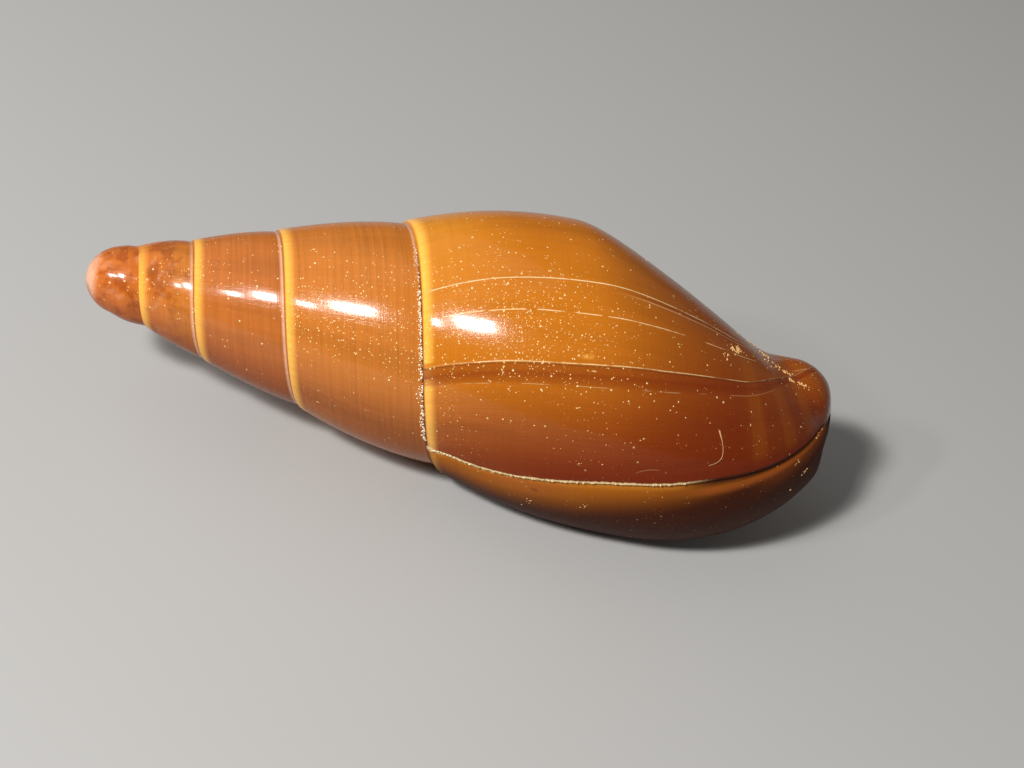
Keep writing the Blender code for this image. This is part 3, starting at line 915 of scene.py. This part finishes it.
class Paint:
    """the node sheet of one material"""

    def __init__(self, name, colour):
        self.material = bpy.data.materials.new(name)
        self.material.use_nodes = True
        self.nodes = self.material.node_tree.nodes
        self.links = self.material.node_tree.links
        self.surface = self.nodes["Principled BSDF"]
        self.here = self.node("TexCoord").outputs["Object"]
        self.colour = tuple(colour)

    def node(self, kind, options=None, **sockets):
        made = self.nodes.new("ShaderNode" + kind)
        for name, value in (options or {}).items():
            setattr(made, name, value)
        for name, value in sockets.items():
            self.plug(made.inputs[name.replace("_", " ")], value)
        return made

    def plug(self, socket, value):
        if isinstance(value, Amount):
            value = value.socket
        if isinstance(value, bpy.types.NodeSocket):
            self.links.new(value, socket)
        elif isinstance(value, tuple) and socket.type == "RGBA":
            socket.default_value = value + (1.0,)
        else:
            socket.default_value = value

    def amounts(self, node, *outputs):
        return [Amount(self, node.outputs[output]) for output in outputs]

    def maths(self, operation, *values):
        made = self.node("Math", {"operation": operation})
        for socket, value in zip(made.inputs, values):
            self.plug(socket, value)
        return Amount(self, made.outputs[0])

    def step(self, value, low, high):
        """0 below low, 1 above high, smooth between"""
        made = self.node("MapRange", {"interpolation_type": "SMOOTHSTEP"}, Value=value,
                         From_Min=low, From_Max=high)
        return Amount(self, made.outputs[0])

    def fade(self, value, low, high):
        """1 below low, 0 above high"""
        return 1.0 - self.step(value, low, high)

    def plateau(self, value, low, full_from, full_to, high):
        """1 in the middle part, 0 outside"""
        return self.step(value, low, full_from) * self.fade(value, full_to, high)

    def line(self, value, width):
        """1 where the value is 0, 0 from the width on"""
        return self.fade(self.maths("ABSOLUTE", value), 0.0, width)

    def blend(self, amount, under, over, kind="MIX"):
        made = self.node("Mix", {"data_type": "RGBA", "blend_type": kind})
        for index, value in ((0, amount), (6, under), (7, over)):
            self.plug(made.inputs[index], value)
        return made.outputs[2]

    def tint(self, amount, colour):
        """lays a colour over the colour so far"""
        self.colour = self.blend(amount, self.colour, tuple(colour))

    def darken(self, shade):
        """multiplies the colour so far by a shade of grey"""
        grey = self.node("CombineColor", None, Red=shade, Green=shade, Blue=shade).outputs[0]
        self.colour = self.blend(1.0, self.colour, grey, "MULTIPLY")

    def noise(self, scale, detail=2.0, roughness=0.5, vector=None):
        made = self.node("TexNoise", None, Vector=vector or self.here, Scale=scale, Detail=detail,
                         Roughness=roughness)
        return Amount(self, made.outputs[0])

    def streaks(self, x, y, seed, detail=2.0, roughness=0.5):
        """noise drawn out along a growth line or along the whorl"""
        vector = self.node("CombineXYZ", None, X=x, Y=y, Z=seed).outputs[0]
        return self.noise(1.0, detail, roughness, vector)

    def dots(self, scale, crowding, limits, sizes, soft_from):
        """fine dots of uneven size: where they are, and a random number for each"""
        cells = self.node("TexVoronoi", {"feature": "F1"}, Vector=self.here, Scale=scale)
        parts = self.node("SeparateColor", None, Color=cells.outputs["Color"])
        picked, grade = self.amounts(parts, 0, 1)
        reach = self.amounts(cells, "Distance")[0] / (sizes[0] + sizes[1] * grade * grade)
        return self.step(picked + crowding, *limits) * self.fade(reach, soft_from, 1.0), grade

    def place_map(self, name):
        found = self.node("UVMap", {"uv_map": name})
        parts = self.node("SeparateXYZ", None, Vector=found.outputs[0])
        return self.amounts(parts, 0, 1)

    def finish(self, roughness, height=None, distance=0.0001, strength=1.0):
        self.plug(self.surface.inputs["Base Color"], self.colour)
        self.plug(self.surface.inputs["Roughness"], roughness)
        if height is not None:
            bump = self.node("Bump", None, Height=height, Distance=distance, Strength=strength)
            self.plug(self.surface.inputs["Normal"], bump.outputs[0])
        return self.material


def growth_line(d, turn, slope, sweep):
    """turn of a growth line at distance d from the suture; near the front end it sweeps back"""
    far = d.paint.maths("MAXIMUM", d - LINE_SWEEP_FROM, 0.0)
    return turn - slope * d - sweep * far * far


def shell_material():
    c = bpy.context.scene.mitre_colours
    paint = Paint("shell", c.spire)
    step, fade, plateau, line = paint.step, paint.fade, paint.plateau, paint.line
    noise, streaks, tint, maths = paint.noise, paint.streaks, paint.tint, paint.maths
    t, d = paint.place_map("growth")
    g, depth = paint.place_map("whorl")
    past = paint.place_map("marks")[0]
    outside = fade(depth, 0.3, 0.7)

    blotch = noise(260.0, 3.0)
    speckle = noise(2600.0)
    skin = noise(12000.0, 2.0, 0.6)
    mottle = noise(900.0, 3.0, 0.6)
    streak = streaks(t * 120.0, d * 0.16, 0.0, 3.0, 0.6)
    fine_streak = streaks(t * 420.0, d * 0.35, 3.0, 2.0, 0.6)
    broad_streak = streaks(t * 18.0, d * 0.05, 7.0)
    strand = streaks(t * 3.0, d * 5.2, 5.0, 2.0, 0.6)

    # main colours by turn and by distance from the suture, with painted shade on the undersides
    on_last = step(t, -0.86, -0.60)
    facing = maths("COSINE", (t - 0.02) * FULL_TURN)
    shaded_underside = step(maths("SINE", t * FULL_TURN), 0.35, 0.95)
    tint(on_last, c.caramel)
    tint(plateau(t, -2.45, -2.05, -1.75, -1.45) * 0.55, c.mauve)
    # painted shade: russet on the underside of the spire whorls
    tint(shaded_underside * (1.0 - on_last) * 0.5, c.russet)
    tint(step(-1.0 * t, -0.05, 0.25) * fade(d, 0.5, 5.5) * on_last * 0.75, c.golden)
    # darker russet towards the bottom of the last whorl: partly the late growth's own colour, partly
    # painted shade
    tint(step(t + 0.006 * d, 0.03, 0.21) * 0.88, c.russet)
    tint(step(d, 6.5, 15.5) * 0.66, c.russet)
    tint(plateau(past, -0.05, -0.003, -0.0005, 0.0004) * 0.85 * step(d, 2.5, 7.0), c.russet)
    fresh = step(past, 0.0, 0.0006)
    tint(fresh * 0.75, c.caramel)
    # the newest growth turns umber further down: its own darker colour, partly painted shade on its
    # lower part
    newest_growth_and_shade = step(past + 0.004 * maths("MAXIMUM", d - 7.0, 0.0), 0.008, 0.075)
    tint(newest_growth_and_shade * fresh * 0.95, c.umber)
    tint(fresh * step(d, 15.0, 17.0) * fade(past, 0.02, 0.07) * 0.3, c.apex)
    rays = step(streaks(t * 2.0, d * 1.3, 8.0, 0.0), 0.40, 0.64)
    fasciole = step(d, 14.6, 16.0) * fade(past, -0.035, -0.005) * step(t, -0.10, 0.03)
    tint(fasciole * (0.08 + 0.14 * rays), c.caramel)

    # worn first whorls
    axis_place = paint.amounts(paint.node("SeparateXYZ", None, Vector=paint.here), 0)[0]
    from_tip = (axis_place - (FRAME_BOX[0].x - TIP_POSITION * MM)) * (1.0 / MM)
    tint(fade(from_tip + 2.5 * mottle, 3.0, 6.5) * 0.75, c.apex)
    early = fade(from_tip, 3.6, 6.4)
    tint(early * step(mottle, 0.46, 0.62) * 0.5, c.russet)
    tint(early * step(noise(1700.0), 0.58, 0.70) * 0.12, c.tip)
    tint(fade(from_tip + 1.6 * (mottle - 0.5), 0.0, 0.8) * 0.7, c.tip)

    # light and dark streaks, and threads across the growth lines
    threads = streaks((d / maths("MAXIMUM", d + g, 0.2)) * 42.0, t * 2.2, 4.0, 2.0, 0.7)
    thread_place = maths("MAXIMUM", 1.0 - on_last, 0.8 * fade(d, 0.8, 2.6))
    shade = 0.83 + 0.18 * streak + 0.14 * fine_streak + 0.10 * blotch
    shade = shade - 0.12 * step(broad_streak, 0.5, 0.68) + 0.10 * (strand - 0.5)
    shade = shade - 0.15 * (step(threads, 0.35, 0.72) - 0.4) * thread_place
    paint.darken(shade + 0.16 * (strand - 0.5) * (1.0 - on_last))

    # bright band and dark line at the suture
    band = plateau(d, 0.04, 0.12, 0.16, 0.66) * (1.0 - 0.85 * plateau(t, 0.036, 0.040, 0.056, 0.060))
    band = band * (0.45 + 0.7 * streak) * step(t, -3.4, -2.9) * (1.0 - 0.7 * fresh)
    tint(band * 0.9, c.band)
    before_last = fade(t, LAST_WHORL, LAST_WHORL + 0.005)
    behind_dark = step(t, -1.16, -1.06)
    whitish = plateau(g, 0.0, 0.03, 0.08, 0.2) * before_last * (1.0 - behind_dark)
    tint(whitish * (0.35 + 0.5 * streak) * step(t, -3.6, -2.8), c.tip)
    groove = maths("MAXIMUM", fade(d, 0.02, 0.07) * (0.3 + 0.7 * step(t, -0.16, -0.06)),
                   before_last * fade(g, 0.01, 0.08) * behind_dark)
    tint(groove * 0.75 * step(t, -3.4, -2.8), c.groove)

    # pale growth lines with darker ground beside them; the dark line under line three is a painted
    # shadow
    after = t + 0.004 * (blotch - 0.5)
    one, two, three = [after - growth_line(d, *place) for place in (LINE_ONE, LINE_TWO, LINE_THREE)]
    chalk = streaks(t * 9.0, d * 3.4, 2.0, 3.0, 0.7)
    uneven = 0.35 + 1.3 * chalk
    broken = step(streaks(t * 30.0, d * 1.1, 1.0), 0.36, 0.52)
    dashes = step(streaks(t * 14.0, d * 0.9, 6.0), 0.46, 0.56)
    forward_half = step(d, 8.5, 11.5)
    pale = line(one / uneven, 0.0011) * (0.25 + 0.6 * broken)
    pale = pale + line(two / uneven, 0.0010) * 0.75 * broken
    pale = pale + line((one - 0.008) / uneven, 0.0012) * 0.4 * forward_half
    pale = pale + line(three / uneven, 0.0010) * (0.2 + 0.6 * broken)
    pale = pale + line(three - 0.026, 0.0009) * 0.3 * dashes
    tint(maths("MINIMUM", pale * step(d, 0.1, 0.5), 1.0), c.cream)
    below_three = plateau(three, 0.0008, 0.003, 0.020, 0.029)
    tint(below_three * (0.8 + 0.3 * line(three - 0.014, 0.006)) * 0.6, c.russet)
    tint(line(one - 0.004, 0.0035) * forward_half * 0.5, c.russet)
    # painted shadow under the raised growth line three
    tint(line(three - 0.0022, 0.0014) * 0.45, c.groove)

    # a short arc, a bright patch and a dark chip
    arc = line(t - 0.1571 - 0.0085 * (d - 10.65) * (d - 10.65), 0.0009)
    tint(arc * plateau(d, 9.7, 10.0, 10.8, 11.1) * 0.2, c.cream)
    patch = line(d - 7.5, 0.45) * line(t - 0.0240, 0.007) * step(speckle, 0.35, 0.6)
    tint(patch * 0.6, c.band)
    chip = line(d - 5.05, 0.28) * line(t - 0.2156, 0.005) * step(speckle, 0.3, 0.55)
    tint(chip * 0.7, c.groove)

    # old growth mark: chalky near the suture, a dark groove near the front end whose darkness is partly
    # dirt and partly painted shade in the step
    front_part = step(d, 11.5, 13.8)
    tint(plateau(past, 0.0016, 0.0026, 0.003, 0.016) * (1.0 - front_part) * 0.5, c.golden)
    # dark line along the mark: partly dirt, partly painted shade where the newer growth steps down
    above_scar = plateau(past, -0.0055, -0.0012, -0.0012, -0.0004)
    tint(above_scar * (0.3 + 0.4 * front_part), c.groove)
    tint(plateau(past, -0.002, 0.0002, 0.006, 0.015) * front_part * 0.9, c.groove)
    tint(plateau(past, 0.012, 0.017, 0.021, 0.034) * front_part * 0.55, c.apex)
    tint(plateau(past, 0.003, 0.010, 0.018, 0.040) * line(d - 4.6, 3.4) * 0.45, c.mauve)
    ragged = streaks(t * 60.0, d * 5.5, 9.0, 2.0, 0.6)
    thick = fade(d, 1.5, 8.0)
    on_scar = step(past + 0.004 * (ragged - 0.5), -0.0034, -0.0014)
    on_scar = on_scar * fade(past - 0.009 * (ragged - 0.35) - 0.003 * thick, 0.0010, 0.0030)
    tint(on_scar * (1.0 - front_part) * (0.25 + 0.75 * step(chalk, 0.24, 0.44)) * 0.9, c.cream)

    # dust that can't be told apart: dull dots, and finer bright dots that are both dust and painted
    # glints; both crowd round the highlights and are dimmed on the underside as painted shade
    crowding = line(t, 0.14) * line(d - 4.0, 7.0) * 0.22 + 0.035 + 0.25 * (blotch - 0.5)
    pepper, grade = paint.dots(5600.0, crowding, (0.90, 0.93), (0.05, 0.35), 0.5)
    pepper = pepper * outside
    tint(pepper * (0.4 + 0.5 * grade) * (1.0 - 0.6 * shaded_underside), c.cream)
    painted_glint_area = maths("MAXIMUM", line(t, 0.11) * line(d - 4.0, 7.5), line(t + 0.99, 0.10) * 0.7)
    crowding = 0.72 * painted_glint_area + 1.1 * (blotch - 0.5)
    dust_and_painted_glint, grade = paint.dots(10500.0, crowding, (0.965, 0.975), (0.16, 0.34), 0.4)
    dust_and_painted_glint = dust_and_painted_glint * outside * (1.0 - 0.8 * shaded_underside)
    tint(dust_and_painted_glint * (0.25 + 0.65 * grade), c.dust_and_painted_glint)

    # the inside
    inner = step(depth, 0.5, 0.9)
    inside = paint.blend(step(depth, 1.3, 1.8) * 0.85, tuple(c.inside), tuple(c.column))
    paint.colour = paint.blend(inner, paint.colour, inside)

    relief = 0.18 * streak + 0.12 * fine_streak + 0.22 * threads * (0.25 + 0.75 * thread_place)
    relief = relief + 0.16 * strand + 0.16 * skin + 0.2 * pepper + 0.2 * dust_and_painted_glint
    relief = relief - 0.5 * line(one, 0.0016) + 0.5 * line(three, 0.0016)
    roughness = 0.08 + 0.06 * streak + 0.08 * speckle + 0.25 * inner + 0.3 * pepper
    roughness = roughness + 0.32 * fresh * outside + 0.10 * shaded_underside * outside
    gloss = 0.10 + 0.52 * step(facing, 0.5, 0.92)
    gloss = gloss * (0.45 + 0.7 * step(0.5 * skin + 0.5 * fine_streak, 0.40, 0.56))
    paint.plug(paint.surface.inputs["Coat Weight"], gloss * (1.0 - 0.85 * fresh) * outside)
    paint.surface.inputs["Coat Roughness"].default_value = 0.11
    paint.surface.inputs["Specular IOR Level"].default_value = 0.09
    return paint.finish(roughness, relief * outside, 0.00006, 0.8)


def grain_material(name, colour, roughness):
    paint = Paint(name, colour)
    speckle = paint.noise(5200.0)
    paint.darken(0.72 + 0.55 * speckle)
    return paint.finish(roughness, speckle, 0.00002, 0.6)


def floor_material():
    paint = Paint("floor", bpy.context.scene.mitre_stage.floor_colour)
    paint.darken(0.97 + 0.06 * paint.noise(14.0))
    return paint.finish(0.6)


class MITRE_OT_shell(bpy.types.Operator):
    """Builds the shell with its hollow, aperture, folds and growth mark"""
    bl_idname = "mitre.shell"
    bl_label = "Add shell"

    def execute(self, context):
        body = build_body()
        place = resting_place(body)
        PLACE["matrix"] = place
        body.transform(place)
        hollow = build_hollow()
        hollow.transform(place)
        shell = mesh_object("shell_surface", body)
        shell.data.materials.append(shell_material())
        cut_away(shell, mesh_object("hollow", hollow))
        deselect()
        bpy.ops.mesh.primitive_cube_add(size=1.0, location=(0.0, 0.0, -0.5 * GROUND_DEPTH * MM),
                                        scale=(GROUND_SIZE * MM, GROUND_SIZE * MM, GROUND_DEPTH * MM))
        ground = bpy.context.object
        bpy.ops.object.transform_apply(location=True, rotation=True, scale=True)
        for layer in list(ground.data.uv_layers):
            ground.data.uv_layers.remove(layer)
        mark_faces(ground)
        cut_away(shell, ground)
        fill_marked_faces(shell)
        make_active(shell)
        bpy.ops.object.shade_smooth_by_angle(angle=math.radians(SMOOTH_ANGLE))
        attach(shell, "root")
        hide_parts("shell")
        return {"FINISHED"}


def base_grain(name, subdivisions, roughness, seed):
    """one lump, shaped in edit mode, for copies"""
    deselect()
    bpy.ops.mesh.primitive_ico_sphere_add(subdivisions=subdivisions, radius=1.0)
    grain = bpy.context.object
    grain.name = name
    bpy.ops.object.mode_set(mode="EDIT")
    bpy.ops.mesh.select_all(action="SELECT")
    bpy.ops.transform.vertex_random(offset=roughness, seed=seed)
    bpy.ops.object.mode_set(mode="OBJECT")
    return grain


def add_spot(spots, draw, place, size, flatness, longest):
    """one grain, its size in mm; how far it is stretched and turned is drawn"""
    spots.append((*place, size * MM, flatness, draw.uniform(1.0, longest), draw.uniform(0.0, 6.28)))


def scatter(name, bases, spots, material):
    """copies of the bases at the spots, sunk in a little and joined in one mesh"""
    copies = []
    for index, (point, outward, size, flatness, stretch, spin) in enumerate(spots):
        base = bases[index % len(bases)]
        copy = base.copy()
        copy.data = base.data.copy()
        turn = outward.to_track_quat("Z", "Y").to_matrix().to_4x4()
        around = Matrix.Rotation(spin, 4, "Z")
        scale = Matrix.Diagonal((size * stretch, size, size * flatness, 1.0))
        place = PLACE["matrix"] @ Matrix.Translation(point + outward * size * flatness * SUNK_IN)
        copy.data.transform(place @ turn @ around @ scale)
        copy.matrix_world = Matrix.Identity(4)
        bpy.context.scene.collection.objects.link(copy)
        copies.append(copy)
    deselect()
    for copy in copies:
        copy.select_set(True)
    bpy.context.view_layer.objects.active = copies[0]
    bpy.ops.object.join()
    joined = bpy.context.object
    joined.name = name
    joined.data.name = name
    cover(joined, material)
    for base in bases:
        bpy.data.objects.remove(base)
    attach(joined, "root")


class MITRE_OT_suture_dirt(bpy.types.Operator):
    """Adds dry grains along the last suture and the old growth mark"""
    bl_idname = "mitre.suture_dirt"
    bl_label = "Add dirt in the suture"

    def execute(self, context):
        dirt = context.scene.mitre_dirt
        draw = random.Random(11)
        bases = [base_grain("grain", 2, 0.22, seed) for seed in (1, 2, 3)]
        spots = []
        for _ in range(dirt.suture_grains):
            t = draw.uniform(*SUTURE_GRAIN_TURNS)
            size = draw.uniform(*SUTURE_GRAIN_SIZES) * LARGER_SMALLER[t <= LARGER_GRAINS_FROM]
            s = suture_place(t) - abs(draw.gauss(0.0, SUTURE_GRAIN_SPREAD))
            add_spot(spots, draw, outside_place(s, t - 1.0), size, 0.7, 1.6)
        for _ in range(dirt.suture_grains):
            s = draw.uniform(*SCAR_GRAIN_PLACES)
            t = SCAR_TURN + draw.uniform(*SCAR_GRAIN_TURNS)
            t -= scar_bend(s - suture_place(t))
            add_spot(spots, draw, outside_place(s, t), draw.uniform(*SCAR_GRAIN_SIZES), 0.7, 1.8)
        scatter("suture_dirt", bases, spots, grain_material("dirt", dirt.grain_colour, 0.75))
        return {"FINISHED"}


class MITRE_OT_dust(bpy.types.Operator):
    """Scatters dust specks over the outside"""
    bl_idname = "mitre.dust"
    bl_label = "Add dust"

    def execute(self, context):
        dirt = context.scene.mitre_dirt
        draw = random.Random(29)
        bases = [base_grain("speck", 1, 0.25, seed) for seed in (4, 5, 6)]
        spots = []
        while len(spots) < dirt.dust_specks:
            dense = draw.random()
            if dense < DUST_SHARES[0]:
                t = draw.gauss(*BRIGHT_DUST_TURN)
                s = draw.gauss(*BRIGHT_DUST_PLACE)
            elif dense < DUST_SHARES[1]:
                t = draw.uniform(LAST_WHORL, LIP_TURN)
                s = draw.uniform(*LAST_DUST_PLACES)
            else:
                t = draw.uniform(*SPIRE_DUST_TURNS)
                s = suture_place(t) + draw.random() * (suture_place(t + 1.0) - suture_place(t))
            if t >= LIP_TURN or (t > LAST_WHORL and s < suture_place(t) + DUST_FROM_SUTURE):
                continue
            place = outside_place(s, t)
            if (PLACE["matrix"] @ place[0]).z < LEAST_DUST_HEIGHT * MM:
                continue
            size = DUST_SIZES[0] + DUST_SIZES[1] * draw.random() ** DUST_SIZE_POWER
            add_spot(spots, draw, place, size, 0.6, 1.5)
        for s, t, spread, size, count in FLAKES:
            for _ in range(count):
                near_s = s + draw.gauss(0.0, spread)
                near_t = t + draw.gauss(0.0, spread / (FULL_TURN * FLAKE_RADIUS))
                place = outside_place(near_s, near_t)
                add_spot(spots, draw, place, size * draw.uniform(*FLAKE_SIZES), 0.5, 1.8)
        scatter("dust", bases, spots, grain_material("dust", dirt.dust_colour, 0.7))
        return {"FINISHED"}


class MITRE_OT_lint(bpy.types.Operator):
    """Lays one lint fibre on the last whorl"""
    bl_idname = "mitre.lint"
    bl_label = "Add lint fibre"

    def execute(self, context):
        dirt = context.scene.mitre_dirt
        deselect()
        data = bpy.data.curves.new("lint", "CURVE")
        data.dimensions = "3D"
        data.bevel_depth = dirt.fibre_radius * MM
        data.bevel_resolution = 2
        data.use_fill_caps = True
        line = data.splines.new("NURBS")
        line.points.add(len(FIBRE_PATH) - 1)
        for index, (s, degrees) in enumerate(FIBRE_PATH):
            turn = degrees / 360.0
            for _ in range(FIBRE_TURN_ROUNDS):
                turn += (math.radians(degrees) - column_angle(turn, s)) / FULL_TURN
            point, outward = outside_place(s, turn)
            lift = dirt.fibre_radius * (FIBRE_LIFT + FIBRE_WAVE[0] * math.sin(index * FIBRE_WAVE[1]))
            line.points[index].co = (*(PLACE["matrix"] @ (point + outward * lift * MM)), 1.0)
            thin = 1.0 - FIBRE_THINNING * index
            line.points[index].radius = FIBRE_THICK if index < FIBRE_THICK_POINTS else thin
        line.order_u = 4
        line.use_endpoint_u = True
        lint = bpy.data.objects.new("lint", data)
        context.scene.collection.objects.link(lint)
        make_active(lint)
        bpy.ops.object.convert(target="MESH")
        lint = bpy.context.object
        cover(lint, grain_material("lint", dirt.fibre_colour, 0.6))
        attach(lint, "root")
        return {"FINISHED"}


def camera_directions():
    """the image's right, down and towards-the-camera directions in the model's frame"""
    slope = math.radians(AXIS_SLOPE)
    lean = math.radians(AXIS_LEAN)
    roll = math.radians(REST_ROLL)
    axis = (math.cos(slope) * math.cos(lean), math.sin(slope) * math.cos(lean), -math.sin(lean))
    down = (-math.sin(slope), math.cos(slope), 0.0)
    near = (math.cos(slope) * math.sin(lean), math.sin(slope) * math.sin(lean), math.cos(lean))
    axis_world = Vector((1.0, 0.0, 0.0))
    near_world = Vector((0.0, -math.cos(roll), math.sin(roll)))
    down_world = Vector((0.0, -math.sin(roll), -math.cos(roll)))
    return [axis[i] * axis_world + down[i] * down_world + near[i] * near_world for i in range(3)], axis


def placed(spot, x, y, z):
    return Matrix.Translation(spot) @ Matrix((x, y, z)).transposed().to_4x4()


# each light: shares of the image's right, down and towards-the-camera directions, distance and two
# sizes in metres, the power it takes and its share of that power
LIGHTS = {
    "main_light": ((-0.35, -0.32, 0.88), 0.24, 0.046, 0.034, "key_power", 1.0),
    "glint_light": ((-0.35, -0.32, 0.88), 0.22, 0.018, 0.014, "glint_power", 1.0),
    "side_light": ((-0.55, -0.26, 0.8), 0.22, 0.012, 0.02, "glint_power", 0.4),
    "top_light": ((-0.45, -0.85, 0.2), 0.36, 0.55, 0.4, "fill_power", 1.0),
}


class MITRE_OT_stage(bpy.types.Operator):
    """Adds the floor, the lights and the camera"""
    bl_idname = "mitre.stage"
    bl_label = "Add stage"

    def execute(self, context):
        stage = context.scene.mitre_stage
        deselect()
        bpy.ops.mesh.primitive_grid_add(x_subdivisions=4, y_subdivisions=24, size=FLOOR_SIZE)
        floor = bpy.context.object
        floor.name = "floor"
        for vertex in floor.data.vertices:
            back = max(vertex.co.y - FLOOR_BEND_FROM, 0.0)
            vertex.co.z = FLOOR_BEND * back * back
        cover(floor, floor_material())

        (right, down, near), axis = camera_directions()
        scale = PIXEL * MM
        target = PLACE["matrix"] @ Vector((AXIS_MIDDLE * scale, 0.0, 0.0))
        shift_x = IMAGE_SIZE[0] / 2 - AXIS_START[0] - AXIS_MIDDLE * axis[0]
        shift_y = IMAGE_SIZE[1] / 2 - AXIS_START[1] - AXIS_MIDDLE * axis[1]
        spot = target + scale * (shift_x * right + shift_y * down + FOCAL_PIXELS * near)
        bpy.ops.object.camera_add()
        camera = bpy.context.object
        camera.matrix_world = placed(spot, right, -down, near)
        camera.data.sensor_width = SENSOR
        camera.data.lens = SENSOR * FOCAL_PIXELS / IMAGE_SIZE[0]
        camera.data.clip_start, camera.data.clip_end = CLIP
        context.scene.camera = camera

        for name, (shares, distance, size, size_y, power, share) in LIGHTS.items():
            z = (shares[0] * right + shares[1] * down + shares[2] * near).normalized()
            x = (-down).cross(z).normalized()
            deselect()
            bpy.ops.object.light_add(type="AREA")
            light = bpy.context.object
            light.name = name
            light.matrix_world = placed(LIGHT_TARGET + z * distance, x, z.cross(x), z)
            light.data.shape = "RECTANGLE"
            light.data.size = size
            light.data.size_y = size_y
            light.data.energy = share * getattr(stage, power)
        world = bpy.data.worlds.new("studio")
        world.use_nodes = True
        background = world.node_tree.nodes["Background"]
        background.inputs["Color"].default_value = SKY_COLOUR
        background.inputs["Strength"].default_value = stage.sky
        context.scene.world = world
        context.scene.view_settings.view_transform = "Standard"
        return {"FINISHED"}


class MITRE_PT_panel(bpy.types.Panel):
    """Lists the pieces of the shell"""
    bl_idname = "MITRE_PT_panel"
    bl_label = "Mitre shell"
    bl_space_type = "VIEW_3D"
    bl_region_type = "UI"
    bl_category = "Mitre shell"

    def draw(self, context):
        for group in GROUPS:
            held = getattr(context.scene, group)
            column = self.layout.column(align=True)
            for name in held.__annotations__:
                column.prop(held, name)
        for step in OPERATORS:
            self.layout.operator(step.bl_idname)


OPERATORS = (MITRE_OT_shell, MITRE_OT_suture_dirt, MITRE_OT_dust, MITRE_OT_lint, MITRE_OT_stage)
GROUPS = {
    "mitre_sizes": ShellSizes,
    "mitre_colours": ShellColours,
    "mitre_dirt": DirtSettings,
    "mitre_stage": StageSettings,
}


def register():
    for group in GROUPS.values():
        bpy.utils.register_class(group)
    for step in OPERATORS + (MITRE_PT_panel,):
        bpy.utils.register_class(step)
    for name, group in GROUPS.items():
        setattr(bpy.types.Scene, name, PointerProperty(type=group))


def unregister():
    for name in GROUPS:
        delattr(bpy.types.Scene, name)
    for step in (MITRE_PT_panel,) + tuple(reversed(OPERATORS)):
        bpy.utils.unregister_class(step)
    for group in GROUPS.values():
        bpy.utils.unregister_class(group)


def main():
    register()
    bpy.ops.mitre.shell()
    bpy.ops.mitre.suture_dirt()
    bpy.ops.mitre.dust()
    bpy.ops.mitre.lint()
    bpy.ops.mitre.stage()


if __name__ == "__main__":
    main()
